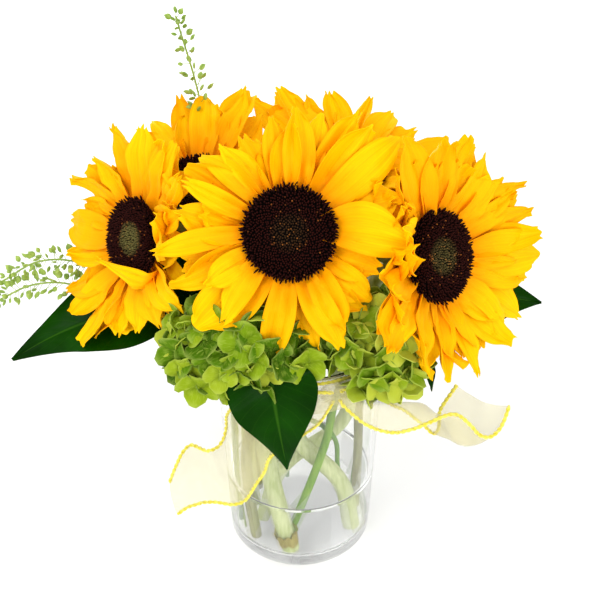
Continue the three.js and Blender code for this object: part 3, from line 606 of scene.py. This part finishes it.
def petal_spine(reach, lift, bow, layer, s):
    """How far out and how high a petal's middle is at s along it."""
    base, end = -2.3 - PETAL_LAYER * layer, lift - PETAL_LAYER * layer
    if reach < PETAL_ROOT:
        return arc(PETAL_ROOT, 46, reach, s), arc(base, 6, lift, s)
    rise = base + (end - base) * s * s + bow * (1 - cos(6.283 * s)) / 2
    return PETAL_ROOT + (reach - PETAL_ROOT) * s, rise


def bell(s, power=1.0):
    """Nothing at both ends of a blade and one in its middle."""
    return sin(3.14 * s) ** power  # below pi, so that it is never negative


def bend_petal(numbers, layer, axes, chance):
    """The points of one petal on its flower."""
    clock, reach, width, lift, bow, sway = numbers
    own = SimpleNamespace(**{key: chance.uniform(*span) for key, span in PETAL_CHANCES.items()})
    turn = Matrix.Rotation(radians(clock), 4, "Z")
    half = width / 2 * PETAL_WIDER
    placed = []
    for x, s, rim in petal_points:
        tip = max(0, (s - 0.72) / 0.28)
        flat = half * x * (1 - (1 - own.point) * tip ** 2)
        rise = half * rim * rim * (own.cup * min(1, 2 * s) + 0.5 * (1 - s) ** 3)
        rise += own.groove * cos(9.4 * rim + own.shift) * bell(s, 0.7)
        rise += (own.roll_left if rim < 0 else own.roll_right) * abs(rim) ** 3 * bell(s, 0.5)
        wave = own.beats * s + own.phase + (1.5 if rim > 0 else 0)
        rise += own.ruffle * abs(rim) ** 2.5 * sin(wave) * min(1, 3 * s)
        rise += own.curl * max(0, (s - 0.6) / 0.4) ** 2
        lean = own.twist * s * s
        side = flat * cos(lean) - rise * sin(lean) + (sway + own.lean) * s * s
        out, height = petal_spine(reach, lift, bow, layer, s)
        notch = own.teeth * cos(own.teeth_count * rim)
        out += (notch - 0.3 * half * rim * rim) * tip ** 2
        height += flat * sin(lean) + rise * cos(lean)
        spot = turn @ Vector((out, side, height))
        spot.z += 3 * s * noise.noise(spot * 0.06 + Vector((clock, 0, 0)))
        spot.z += 1.4 * noise.noise(spot * 0.17 + Vector((clock, 9, 0)))
        placed.append(axes @ spot)
    return placed


def parted(petals, chance):
    """The petals with their layers, where a wide one is two narrower ones that overlap."""
    single = []
    for k, (clock, reach, width, lift, bow, sway) in enumerate(petals):
        if width < 17 or reach < PETAL_ROOT or chance.random() > 0.35:
            single.append(((clock, reach, width, lift, bow, sway), k % 2))
            continue
        aside = degrees(0.24 * width / (0.6 * reach))
        shorter = chance.choice((-1, 1))
        for way in (-1, 1):
            length = reach * (chance.uniform(0.86, 0.96) if way == shorter else 1)
            rise = lift + (chance.uniform(-3, 1) if way == shorter else 0)
            narrow = width * chance.uniform(0.6, 0.74)
            layer = k % 2 + (0.45 if way == shorter else 0)
            single.append(((clock + way * aside, length, narrow, rise, bow, sway), layer))
    return single


def petals_behind(petals, chance):
    """Shorter petals for the gaps between the others, a little further back."""
    ordered = sorted(p for p in petals if p[1] > 30)
    behind = []
    for one, two in zip(ordered, ordered[1:] + ordered[:1]):
        gap = (two[0] - one[0]) % 360
        fills = 1 + (gap > 16)
        for k in range(fills):
            share = (k + chance.uniform(0.35, 0.65)) / fills
            reach = chance.uniform(0.78, 0.92) * (one[1] * (1 - share) + two[1] * share)
            lift = min(one[3], two[3]) - chance.uniform(1, 4)
            behind.append((one[0] + gap * share, reach, chance.uniform(14, 20), lift, 2, 0))
    return behind


for number, (name, flower) in enumerate(SUNFLOWERS.items()):
    chance = random.Random(40 + number)
    axes = flower_place(flower)
    front = parted(flower["petals"], chance)
    placings = [bend_petal(p, layer, axes, chance) for p, layer in front]
    behind = petals_behind(flower["petals"], chance)
    placings += [bend_petal(p, 1.4 + 0.5 * (k % 2), axes, chance) for k, p in enumerate(behind)]
    tones = [chance.random() ** 1.5 for _ in placings]
    ring = gather(f"petals_{name}", petal, placings, tone=tones)
    thicken(ring, PETAL_THICK * MM)
    stand_for(ring, petal_finish, "petal_yellow", f"sunflower_{name}_petals")
bpy.data.objects.remove(petal)

# %% [markdown]
# ## Discs
# A disc is hundreds of small florets in two sets of spirals. Each next one is turned by the golden
# angle, which leaves no gaps. The outer ones are open and lean out over the petals, and the middle
# ones are closed. One bud is modelled and copied, on a dark bed.

# %% one bud
DISC_RADIUS = 28.5
DISC_BUDS = 1100
GOLDEN_ANGLE = 2.39996


def disc_height(r):
    """The dome of the disc at a distance from its middle, in millimetres."""
    return 3.4 + 4 * (1 - (r / DISC_RADIUS) ** 4) - 1.6 * exp(-((r / 10) ** 2))


bud = fresh("circle", vertices=5, radius=0.4, fill_type="NGON")
with editing(bud):
    for up, grow in ((0.45, 1.4), (0.3, 0.75), (0.25, 0.2)):
        bpy.ops.mesh.extrude_region_move(TRANSFORM_OT_translate={"value": (0, 0, up)})
        bpy.ops.transform.resize(value=(grow, grow, 1))
    bpy.ops.mesh.select_all(action="SELECT")
    bpy.ops.mesh.normals_make_consistent(inside=False)
bud_map = bud.data.uv_layers[0] if bud.data.uv_layers else bud.data.uv_layers.new(name="UVMap")
for loop, corner in zip(bud.data.loops, bud_map.data):
    corner.uv = (0.5, bud.data.vertices[loop.vertex_index].co.z)
print("faces in a bud:", len(bud.data.polygons))

# %% discs
def place_buds(axes, radius, chance):
    """The points of every bud of one disc, and how far out it is from 0 to 1."""
    placings, ways = [], []
    for k in range(DISC_BUDS):
        share = sqrt((k + 0.5) / DISC_BUDS)
        r = radius * (0.94 * share + chance.uniform(-0.01, 0.01))
        angle = k * GOLDEN_ANGLE + chance.uniform(-0.25, 0.25) / (1 + 20 * share)
        outside = max(0, share - 0.7) / 0.3
        tall = 1.5 + chance.random() + 0.6 * share + 1.5 * outside * chance.random()
        wide = 1.15 + 0.3 * share - 0.25 * outside
        lean = 0.1 + 0.75 * outside + chance.uniform(-0.3, 0.3)
        foot = Vector((r * cos(angle), r * sin(angle), disc_height(r) - 1.5))
        turn = Matrix.Rotation(angle + chance.uniform(-0.5, 0.5), 4, "Z")
        turn = turn @ Matrix.Rotation(lean, 4, "Y")
        fit = axes @ Matrix.Translation(foot) @ turn @ Matrix.Diagonal((wide, wide, tall, 1))
        placings.append([fit @ v.co for v in bud.data.vertices])
        ways.append(share)
    return placings, ways


for number, (name, flower) in enumerate(SUNFLOWERS.items()):
    chance = random.Random(80 + number)
    axes = flower_place(flower)
    radius = DISC_RADIUS * flower.get("disc", 1)
    placings, ways = place_buds(axes, radius, chance)
    open_ones = [0.03 + 0.3 * max(0, 1 - way / 0.6) for way in ways]
    gold = [0.9 * (chance.random() < few) * chance.random() for few in open_ones]
    middle = [flower["green"] * max(0, 1 - (way / 0.45) ** 3) for way in ways]
    green = [most * chance.uniform(0.7, 1) for most in middle]
    buds = gather(f"disc_{name}", bud, placings, gold=gold, green=green)
    profile = [(radius * 0.093 * k, disc_height(radius * 0.1 * k) - 1.2) for k in range(11)]
    bed = turned("bed", profile + [(17, 0.4), (0, 0.4)], 40)
    bed.data.transform(axes)
    disc = join(f"disc_{name}", [buds, bed])
    stand_for(disc, disc_finish, "disc_brown", f"sunflower_{name}_disc", sharp=60)
bpy.data.objects.remove(bud)

# %% [markdown]
# ## Stems
# The stems lean on each other and on the glass. Each is a smooth tube through the places where it
# stands at four heights. A sunflower's stem ends in a green cup behind the disc with two rows of
# pointed bracts.

# %% how stems stand in the vase
STEM_HEIGHTS = (10, 50, 95, 150)
RIM_CROSSING = 47.8


def stem_way(stand, above):
    """A stem's way, in metres: up through the vase, then through the points above it."""
    inside = [(x, y, z) for (x, y), z in zip(stand, STEM_HEIGHTS)]
    return [Vector(point) * MM for point in (*inside, *above)]


def over_rim(x, y):
    """The way over the vase's rim towards a point outside it."""
    inside = Vector((x, y, 0)).normalized() * RIM_CROSSING
    return (inside.x, inside.y, 169)


def bract_outline(s):
    """Half the width of a bract: widest low down, then drawn out to a point."""
    return max(0.05, (1 - s) ** 0.8 * (0.75 + 1.1 * s))


bract, bract_points = flat_blade("flat_bract", 4, 8, bract_outline)
print("points in a bract:", len(bract_points))

# %% sunflower stems
BRACTS = 22
BRACT_STEP = 0.2856
CUP_PROFILE = [
    (0, 0), (14, 0), (14, -7.9), (22, -7.9), (20.5, -11.5), (13, -16), (6, -20), (0, -21)
]


def bend_bract(clock, reach, width, back, axes):
    """A pointed green bract behind the petals, curling away from them."""
    placed = []
    c, d = cos(clock), sin(clock)
    for x, s, rim in bract_points:
        radius = 13 + (reach - 13) * s
        side = width / 2 * x
        height = -8.4 - back * s ** 2 - 1.2 * rim * rim
        placed.append(axes @ Vector((radius * c - side * d, radius * d + side * c, height)))
    return placed


for number, (name, flower) in enumerate(SUNFLOWERS.items()):
    chance = random.Random(120 + number)
    axes = flower_place(flower)
    thick, stand = flower["stem"]
    behind = [axes @ Vector((0, 0, z)) / MM for z in (-31, -16)]
    stalk = tube("stalk", stem_way(stand, behind), thick * MM, 4, 10)
    cup = turned("cup", CUP_PROFILE, 32)
    cup.data.transform(axes)
    placings = []
    for k in range(BRACTS):
        reach = chance.uniform(33, 42) if k % 2 else chance.uniform(29, 36)
        clock = k * BRACT_STEP + chance.uniform(-0.08, 0.08)
        width, back = chance.uniform(11, 14), chance.uniform(2, 6) + 1.2 * (k % 2)
        placings.append(bend_bract(clock, reach, width, back, axes))
    bracts = gather("bracts", bract, placings, leafy=[0.85] * BRACTS)
    thicken(bracts, 0.6 * MM)
    stem = join(f"stem_{name}", [bracts, stalk, cup])
    stand_for(stem, stem_finish, "stem_green", f"sunflower_{name}_stem")
bpy.data.objects.remove(bract)

# %% [markdown]
# ## Peeled skin
# Near its foot one stem has a brown sleeve of torn skin, where a leaf was stripped off. It is a
# short skin spun round the stem, and noise makes its edges ragged.

# %% the peeled skin
PEEL_AT = (-8.4, -37.5, 20.5)
PEEL_LEAN = Vector((-9, 2, 40))
PEEL_PROFILE = [(6.2, -5), (6.4, -2), (6.6, 1), (7.0, 3.5), (8.0, 4.6)]
peel = turned("peel_left", PEEL_PROFILE, 28)
for vertex in peel.data.vertices:
    torn = noise.noise(Vector((vertex.co.x, vertex.co.y, 0)) * 0.35)
    vertex.co.z += torn * (3 + 0.5 * abs(vertex.co.z))
    vertex.co += Vector((vertex.co.x, vertex.co.y, 0)) * 0.05 * noise.noise(vertex.co * 0.6)
on_stem = Matrix.Translation(PEEL_AT) @ aimed(PEEL_LEAN)
peel.data.transform(Matrix.Scale(MM, 4) @ on_stem)
thicken(peel, 0.5 * MM, 1)
stand_for(peel, peel_finish, "woody_stem")

# %% [markdown]
# ## Hydrangea
# A hydrangea head is a ball of florets, each with four round overlapping sepals and a bead in the
# middle. A sepal is a rounded blade, dished and copied round. The florets stand out all over a
# core, each with its own size, spin and tilt. The core fills the inside of the head, and its dark
# green is painted shade between the florets.

# %% one floret
HYDRANGEAS = {
    "front_left": {
        "at": (-32, -40, 181), "half": (52, 34, 38), "florets": 124,
        "stem": (3.6, ((-30, -26), (-34, -26), (-34, -28), (-22, -35))),
    },
    "front_right": {
        "at": (46, -42, 181), "half": (33, 30, 34), "florets": 74,
        "stem": (2.8, ((-8, -26), (4, -28), (16, -30), (28, -32))),
    },
    "back_right": {
        "at": (52, 38, 188), "half": (34, 32, 28), "florets": 62,
        "stem": (3.5, ((41, 5), (42, 8), (41, 10), (35, 12))),
    },
    "back_left": {
        "at": (-24, 60, 188), "half": (34, 28, 28), "florets": 62,
        "stem": (3.6, ((-32, 24), (-34, 26), (-30, 32), (-13, 41))),
    },
}


def sepal_outline(s):
    """Half the width of a sepal: narrow at the middle of the floret, round outside."""
    if s < 0.6:
        return 0.22 + 0.78 * sin(s / 0.6 * pi / 2)
    return max(0.3, sqrt(max(0, 1 - ((s - 0.6) / 0.42) ** 2)))


def dished(away, side):
    """How high a sepal's point is: it rises outwards and dips across."""
    return 0.5 * away ** 1.5 - 0.25 * side ** 2 + 0.05 * sin(5 * away + 4 * side)


floret, _ = flat_blade("floret", 4, 5, sepal_outline)
with editing(floret) as sepal:
    for vertex in sepal.verts:
        side, away = vertex.co.x, vertex.co.y
        tip = max(0, away - 0.85) * (0.35 - side * side * 2)
        vertex.co = Vector((side * 0.6, away + tip, dished(away, side)))
    bmesh.update_edit_mesh(floret.data)
    for _ in range(3):
        bpy.ops.mesh.duplicate()
        quarter = radians(90)
        bpy.ops.transform.rotate(value=quarter, orient_axis="Z", center_override=(0, 0, 0))
        bpy.ops.transform.translate(value=(0, 0, 0.04))
thicken(floret, 0.05)
bead = fresh("ico_sphere", subdivisions=1, radius=0.12, location=(0, 0, 0.12))
bpy.ops.object.transform_apply(location=True)
floret = join("floret", [floret, bead])
print("faces in a floret:", len(floret.data.polygons))

# %% hydrangea heads and stems
def place_florets(head, chance):
    """The points of each floret of a head, all over its oval but clear of the vase's rim."""
    middle, half = Vector(head["at"]), Vector(head["half"])
    placings = []
    for k in range(head["florets"]):
        z = 0.97 - 1.75 * (k + 0.5) / head["florets"]
        ring = sqrt(1 - z * z)
        angle = k * GOLDEN_ANGLE + middle.x
        unit = Vector((ring * cos(angle), ring * sin(angle), z))
        outwards = Vector(u / h for u, h in zip(unit, half)).normalized()
        deep = chance.uniform(4, 11)
        spot = middle + Vector(u * h for u, h in zip(unit, half)) - outwards * deep
        size, spin = chance.uniform(9.5, 13.5), chance.uniform(0, 6.28)
        tilt = [chance.uniform(-0.5, 0.5) for _ in range(2)]
        if spot.z < 174 and hypot(spot.x, spot.y) < 66:
            continue
        lean = Matrix.Rotation(tilt[0], 4, "X") @ Matrix.Rotation(tilt[1], 4, "Y")
        turn = aimed(outwards) @ lean @ Matrix.Rotation(spin, 4, "Z")
        fit = Matrix.Translation(spot) @ turn @ Matrix.Scale(size, 4)
        points = [fit @ v.co for v in floret.data.vertices]
        placings.append([(p + outwards * 1.5 * noise.noise(p * 0.12)) * MM for p in points])
    return placings


for number, (name, head) in enumerate(HYDRANGEAS.items()):
    chance = random.Random(160 + number)
    placings = place_florets(head, chance)
    pale = 0.25 if name == "front_right" else 0
    tones = [min(1, pale + chance.random() ** 1.2) for _ in placings]
    florets = gather(f"florets_{name}", floret, placings, tone=tones)
    # painted shade: the core takes the florets' darkest green, so the gaps between florets look dark
    shade_core = fresh("ico_sphere", subdivisions=4, radius=1)
    oval = Matrix.Diagonal((*(h - 13 for h in head["half"]), 1))
    shade_core.data.transform(Matrix.Scale(MM, 4) @ Matrix.Translation(head["at"]) @ oval)
    florets = join(f"florets_{name}", [florets, shade_core])
    node = f"hydrangea_{name}_florets"
    stand_for(florets, floret_finish, "floret_lime", node, sharp=60)
    x, y, z = head["at"]
    above = [(x * 0.8, y * 0.8, z - 0.62 * head["half"][2]), (x, y, z - 0.2 * head["half"][2])]
    thick, stand = head["stem"]
    stalk = tube(f"woody_stem_{name}", stem_way(stand, above), thick * MM, 3, 8)
    skin = fresh_finish if name == "front_right" else woody_finish
    stand_for(stalk, skin, "woody_stem", f"hydrangea_{name}_stem")
bpy.data.objects.remove(floret)

# %% [markdown]
# ## Leaves
# A leaf is one large blade folded a little along its midrib. Its edge waves, and its skin puffs up
# between the side veins. It grows from a thin twig that runs down into the vase.

# %% one flat leaf
LEAFY_STEMS = {
    "front": (((33, 3), (27, -2), (21, -18), (-22, -42)), [
        ((-17, -52, 172), (-18, -74, 176), (-8, -67, 106), 54, (0, -5, 1)),
    ]),
    "left": (((-42, -10), (-44, -10), (-45, -8), (-45, -6)), [
        ((-74, 12, 172), (-130, 20, 176), (-193, 8, 136), 56, (-1, -5, 8)),
        ((-58, -4, 176), (-72, -14, 206), (-76, -8, 236), 44, (-1, -5, 3)),
    ]),
    "right": (((39, 18), (42, 18), (44, 15), (46, 0)), [
        ((70, 6, 172), (112, 22, 184), (158, 14, 177), 50, (1, -6, 6)),
        ((84, 14, 186), (104, 36, 216), (131, 45, 246), 34, (-5, -7, 5)),
        ((66, 42, 178), (94, 62, 188), (118, 78, 162), 40, (4, 6, 7)),
        ((72, -42, 180), (80, -46, 168), (81, -46, 151), 8, (0, -1, 0)),
    ]),
    "back": (((-10, 36), (-8, 40), (0, 44), (10, 46)), [
        ((2, 66, 171), (16, 98, 178), (24, 120, 142), 44, (1, 7, 7)),
    ]),
}


def leaf_outline(s):
    """Half the width of a leaf, widest below its middle, with a drawn-out tip."""
    if not 0 < s < 1:
        return 0.02
    return max(0.02, sin(pi * s ** 0.72) ** 0.85 * (1 - 0.25 * max(0, s - 0.6) / 0.4))


leaf, leaf_points = flat_blade("flat_leaf", 14, 34, leaf_outline)
print("points in a leaf:", len(leaf_points))

# %% leaves and twigs
def on_rib(numbers, s):
    """A point on the leaf's midrib, and the rib's direction there."""
    root, bend, tip = (Vector(p) for p in numbers[:3])
    return arc(root, bend, tip, s), ((bend - root) * (1 - s) + (tip - bend) * s).normalized()


def bend_leaf(numbers, phase):
    """The points of one leaf along its midrib."""
    width, faces = numbers[3], Vector(numbers[4])
    placed = []
    for x, s, rim in leaf_points:
        middle, along = on_rib(numbers, s)
        side = along.cross(faces).normalized()
        front = side.cross(along).normalized()
        half = width / 2
        puff = abs(sin(pi * (9 * s - 2 * abs(rim) + 0.5))) ** 0.6 * 0.7
        puff *= sin(pi * min(1, abs(rim)))
        wave = 1.6 * rim * rim * sin(11 * s + phase + (1.4 if rim > 0 else 0))
        fold = 0.18 * half * abs(x)
        placed.append((middle + side * half * x + front * (fold + puff + wave)) * MM)
    return placed


for number, (name, (stand, leaves)) in enumerate(LEAFY_STEMS.items()):
    bent = [bend_leaf(numbers, 2 * k + number) for k, numbers in enumerate(leaves)]
    blades = gather(f"foliage_{name}", leaf, bent, leafy=[1.0] * len(leaves))
    thicken(blades, 0.7 * MM)
    twigs = []
    fork = over_rim(*leaves[0][0][:2])
    for k, numbers in enumerate(leaves):
        rib = [on_rib(numbers, s)[0] for s in (0, 0.12, 0.25)]
        way = [Vector(p) * MM for p in (fork, *rib)] if k else stem_way(stand, [fork, *rib])
        twigs.append(tube("twig", way, (1.7 if k == 0 else 1.3) * MM, 2, 6))
    piece = join(f"foliage_{name}", [blades, *twigs])
    stand_for(piece, leaf_finish, "leaf_green", f"leaves_{name}")
bpy.data.objects.remove(leaf)

# %% [markdown]
# ## Seed-pod sprigs
# The sprigs carry flat oval pods on hair-thin stalks all round a thin stem. A pod is a small
# sphere, flattened and drawn out to a point. It and its stalk are copied to each place.

# %% one pod and one stalk
SPRIGS = {
    "top": (
        ((-40, 16), (-42, 20), (-40, 24), (-34, 30)),
        [(-44, 76, 196), (-62, 98, 240), (-68, 98, 290), (-79, 92, 343)], 0.74, 66),
    "left_upper": (
        ((-43, 0), (-46, 4), (-46, 8), (-45, 14)),
        [(-84, 34, 176), (-116, 46, 180), (-143, 47, 188), (-174, 42, 193), (-200, 36, 181)],
        0.75, 66),
    "left_lower": (
        ((-38, -18), (-41, -18), (-41, -20), (-40, -24)),
        [(-80, 0, 160), (-118, 34, 160), (-148, 34, 178), (-176, 30, 182), (-201, 22, 174)],
        0.75, 52),
}
pod = fresh("uv_sphere", segments=8, ring_count=6, radius=1)
with editing(pod):
    pick(pod, lambda co: co.z > 0.95)
    bpy.ops.transform.translate(value=(0, 0, 0.35))
    bpy.ops.mesh.select_all(action="SELECT")
    bpy.ops.transform.resize(value=(0.88, 0.4, 1))
hair = fresh("cylinder", vertices=4, radius=1, depth=1, location=(0, 0, 0.5))
bpy.ops.object.transform_apply(location=True)
print("faces in a pod:", len(pod.data.polygons))

# %% sprigs
SPRIG_STEPS = 90


def way_points(points, count):
    """Evenly spaced points on a smooth line through points."""
    line = []
    for i, (a, b) in enumerate(zip(points, points[1:])):
        before, after = points[max(0, i - 1)], points[min(len(points) - 1, i + 2)]
        first, second = b - before, 2 * before - 5 * a + 4 * b - after
        third = 3 * a - before - 3 * b + after
        for t in (k / 12 for k in range(12)):
            line.append(0.5 * (2 * a + first * t + second * t * t + third * t ** 3))
    line.append(points[-1])
    return [line[round(k * (len(line) - 1) / count)] for k in range(count + 1)]


def between(start, end, radius):
    """The points of a hair-thin stalk from one place to another."""
    shape = Matrix.Diagonal((radius, radius, (end - start).length, 1))
    fit = Matrix.Translation(start) @ aimed(end - start) @ shape
    return [fit @ v.co for v in hair.data.vertices]


for number, (name, (stand, way, bare, pods)) in enumerate(SPRIGS.items()):
    chance = random.Random(200 + number)
    points = stem_way(stand, [over_rim(*way[0][:2]), *way])
    line = way_points(points, SPRIG_STEPS)
    stalks, heads = [], []
    for k in range(pods):
        s = (bare + (0.999 - bare) * (k + 0.5) / pods) * SPRIG_STEPS
        after = line[min(SPRIG_STEPS, int(s) + 1)]
        root = line[int(s)].lerp(after, s % 1)
        along = (after - line[int(s) - 1]).normalized()
        aside = along.cross(Vector((0, 1, 0.2))).normalized()
        aside.rotate(Matrix.Rotation(k * 2.4 + chance.uniform(-0.5, 0.5), 3, along))
        reach = MM * (10 - 6 * (k / pods) ** 1.5) * chance.uniform(0.6, 1.2)
        towards = (aside * 0.85 + along * chance.uniform(0.1, 0.9)).normalized()
        end = root + towards * reach
        stalks.append(between(root, end, 0.2 * MM))
        size = MM * (2.6 - 0.5 * (k / pods) ** 2) * chance.uniform(0.7, 1.1)
        turn = aimed(towards) @ Matrix.Rotation(chance.uniform(0, 6.28), 4, "Z")
        fit = Matrix.Translation(end + towards * size * 0.7) @ turn @ Matrix.Scale(size, 4)
        heads.append([fit @ v.co for v in pod.data.vertices])
    parts = [
        gather("pods", pod, heads),
        gather("stalks", hair, stalks),
        tube("stalk", points, 0.62 * MM, 2, 8),
    ]
    sprig = join(f"pods_{name}", parts)
    stand_for(sprig, twig_finish, "sprig_green", f"sprig_{name}", sharp=60)
bpy.data.objects.remove(pod)
bpy.data.objects.remove(hair)

# %% [markdown]
# ## Vase and water
# The vase is a moulded glass cylinder: a thick base with a round corner, an even wall and a fire-
# polished rim. Its profile is spun round. The water overlaps the glass by a hair, so that no film
# of air shines between them. Where its surface meets the wall it climbs a little, and this clear
# ring is the line by which the water's level is seen.

# %% the vase
BASE, TALL, WALL, LIP = 8, 165, 3.2, 1.6
CORNER = 7


def corner(radius_out, low):
    """A quarter-round corner between a flat floor and an upright wall."""
    arc = []
    for k in range(7):
        a = pi / 2 * k / 6
        out, up = CORNER * sin(a), CORNER * cos(a)
        arc.append((radius_out - CORNER + out, low + CORNER - up))
    return arc


def wall(z, inside=False):
    """The vase's radius at a height, outside or inside."""
    return 50 + 6 / TALL * z - (WALL if inside else 0)


def spun(name, profile, steps=96):
    """A profile in millimetres, spun to its real size."""
    return turned(name, [(r * MM, z * MM) for r, z in profile], steps)


inner_corner = corner(wall(BASE + CORNER, True), BASE)
profile = [(0, 0), *corner(wall(CORNER), 0)]
profile += [(wall(z), z) for z in range(20, 161, 20)]
middle = (wall(TALL) + wall(TALL, True)) / 2
for k in range(9):
    a = pi * k / 8
    profile.append((middle + LIP * cos(a), TALL - LIP + LIP * sin(a)))
profile += [(wall(z, True), z) for z in range(160, 19, -20)]
profile += [*inner_corner[::-1], (0, BASE + 0.6)]
stand_for(spun("vase_glass", profile), glass_finish, "vase_glass", "vase", sharp=60)

# %% the water
LEVEL = 55
OVERLAP = 0.1
at_wall = wall(LEVEL, True)
fill = [(0, BASE + 0.5), *[(r + OVERLAP, z - OVERLAP) for r, z in inner_corner]]
fill += [(wall(z, True) + OVERLAP, z) for z in (30, 45, LEVEL)]
fill += [(at_wall - 1.2, LEVEL - 0.6), (0, LEVEL - 0.9)]
stand_for(spun("water_fill", fill), water_finish, "water", "water", sharp=40)
climb = [
    (at_wall + OVERLAP, LEVEL - 2.2), (at_wall + OVERLAP, LEVEL + 1), (at_wall - 0.5, LEVEL - 0.4),
    (at_wall - 1.8, LEVEL - 0.9), (at_wall + OVERLAP, LEVEL - 2.2),
]
stand_for(spun("water_edge", climb), glass_finish, "water", sharp=40)

# %% [markdown]
# ## Ribbon
# A sheer cream ribbon 38 mm wide is wound round the neck and knotted in front, and its tails wave
# out to both sides. Along each edge runs a cord of two strands wound round each other. A tail is a
# sheet bent through rows of points, each with its upper edge, middle and lower edge. The band is
# the same cloth, folded narrower and drawn tight.

# %% the tails
RIBBON_TAILS = {
    "left": [
        (20, -61, 160, 20, -62, 157, 20, -61, 154), (0, -61, 160, 5, -65, 149, 11, -63, 138),
        (-23, -54, 151, -14, -60, 136, -5, -60, 122), (-39, -40, 136, -26, -52, 124, -14, -57, 112),
        (-47, -32, 121, -34, -46, 112, -20, -54, 102), (-48, -30, 110, -36, -45, 100, -23, -52, 90),
        (-50, -31, 101, -39, -45, 89, -29, -50, 77), (-54, -33, 95, -45, -46, 79, -36, -50, 64),
        (-60, -37, 95, -52, -48, 78, -44, -52, 62), (-66, -33, 94, -60, -45, 79, -55, -51, 63),
        (-72, -30, 94, -67, -44, 78, -63, -50, 62), (-77, -33, 91, -73, -48, 76, -68, -52, 62),
        (-81, -38, 85, -77, -52, 73, -74, -55, 62), (-86, -44, 74, -83, -56, 67, -80, -59, 60),
    ],
    "right": [
        (24, -61, 161, 24, -62, 158, 24, -61, 155), (32, -57, 160, 29, -63, 158, 27, -65, 152),
        (44, -52, 152, 41, -64, 154, 40, -69, 142), (58, -46, 139, 57, -60, 150, 55, -70, 137),
        (65, -44, 134, 67, -57, 148, 68, -68, 138), (72, -43, 127, 77, -53, 144, 79, -65, 141),
        (79, -44, 121, 86, -51, 134, 87, -62, 143), (84, -46, 117, 93, -55, 124, 93, -60, 143),
        (87, -46, 119, 98, -57, 119, 98, -60, 141), (88, -44, 124, 102, -57, 117, 104, -62, 136),
        (88, -42, 131, 104, -56, 116, 110, -64, 130), (91, -40, 137, 107, -54, 121, 117, -64, 129),
        (95, -38, 143, 111, -50, 131, 123, -62, 136), (98, -37, 148, 113, -47, 143, 127, -58, 148),
    ],
}
RIBBON_THICK = 0.25
TAIL_STEPS = 80


def twisted_cord(name, line):
    """Two strands wound round each other along a line."""
    strands = []
    last = len(line) - 1
    for strand in range(2):
        points, run = [], 0.0
        for k, spot in enumerate(line):
            before = line[max(0, k - 1)]
            along = (line[min(last, k + 1)] - before).normalized()
            run += (spot - before).length
            aside = along.cross(Vector((0, 0.3, 1))).normalized()
            aside.rotate(Matrix.Rotation(run / (1.1 * MM) + strand * pi, 3, along))
            points.append(spot + aside * 0.62 * MM)
        strands.append(tube("strand", points, 0.72 * MM, 1, 1))
    return join(name, strands)


for side, rows in RIBBON_TAILS.items():
    edges = [[Vector(row[i : i + 3]) * MM for row in rows] for i in (0, 3, 6)]
    lines = [way_points(edge, TAIL_STEPS) for edge in edges]
    centre_line = lines[1]
    tail = fresh("grid", x_subdivisions=16, y_subdivisions=TAIL_STEPS, size=2)
    tail.name = f"ribbon_{side}"
    for vertex in tail.data.vertices:
        u, step = vertex.co.x, min(TAIL_STEPS, round((vertex.co.y + 1) * TAIL_STEPS / 2))
        upper, centre, lower = (line[step] for line in lines)
        spot = upper * (u * u - u) / 2 + centre * (1 - u * u) + lower * (u * u + u) / 2
        along = centre_line[min(TAIL_STEPS, step + 1)] - centre_line[max(0, step - 1)]
        face = (lower - upper).cross(along).normalized()
        pleat = sin(5 * u + 0.09 * step) * (1 - u * u) * (1.4 - 0.008 * step)
        vertex.co = spot + face * pleat * MM
    thicken(tail, RIBBON_THICK * MM)
    stand_for(tail, ribbon_finish, "ribbon_cream", f"ribbon_{side}_tail")
    cords = []
    for name, edge in (("upper", edges[0]), ("lower", edges[2])):
        cords.append(twisted_cord(f"cord_{side}_{name}", way_points(edge, 3 * TAIL_STEPS)))
        stand_for(cords[-1], cord_finish, "ribbon_cream")

# %% the knot and the band
knot = fresh("uv_sphere", segments=32, ring_count=20, radius=1)
knot.name = "ribbon_knot_cloth"
for vertex in knot.data.vertices:
    x, y, z = vertex.co
    folds = 1 + 0.1 * sin(9 * atan2(z, y) + 3 * x)
    vertex.co = Vector((21 + 9 * x, -58 + 5 * y * folds, 157 + 7 * z * folds)) * MM
stand_for(knot, ribbon_finish, "ribbon_cream", "ribbon_knot")
band_profile = [(wall(z) + 0.5 + 0.25 * sin(z * 1.7), z) for z in range(139, 167)]
band = spun("ribbon_band_cloth", band_profile)
thicken(band, RIBBON_THICK * MM, 1)
with editing(band):
    bpy.ops.uv.smart_project()
stand_for(band, ribbon_finish, "ribbon_cream", "ribbon_band")
neck = Vector((wall(162) + 1.6, 0, 163))
turns = [Matrix.Rotation(radians(2 * k), 3, "Z") for k in range(181)]
band_cord = twisted_cord("cord_band", [turn @ neck * MM for turn in turns])
stand_for(band_cord, cord_finish, "ribbon_cream")
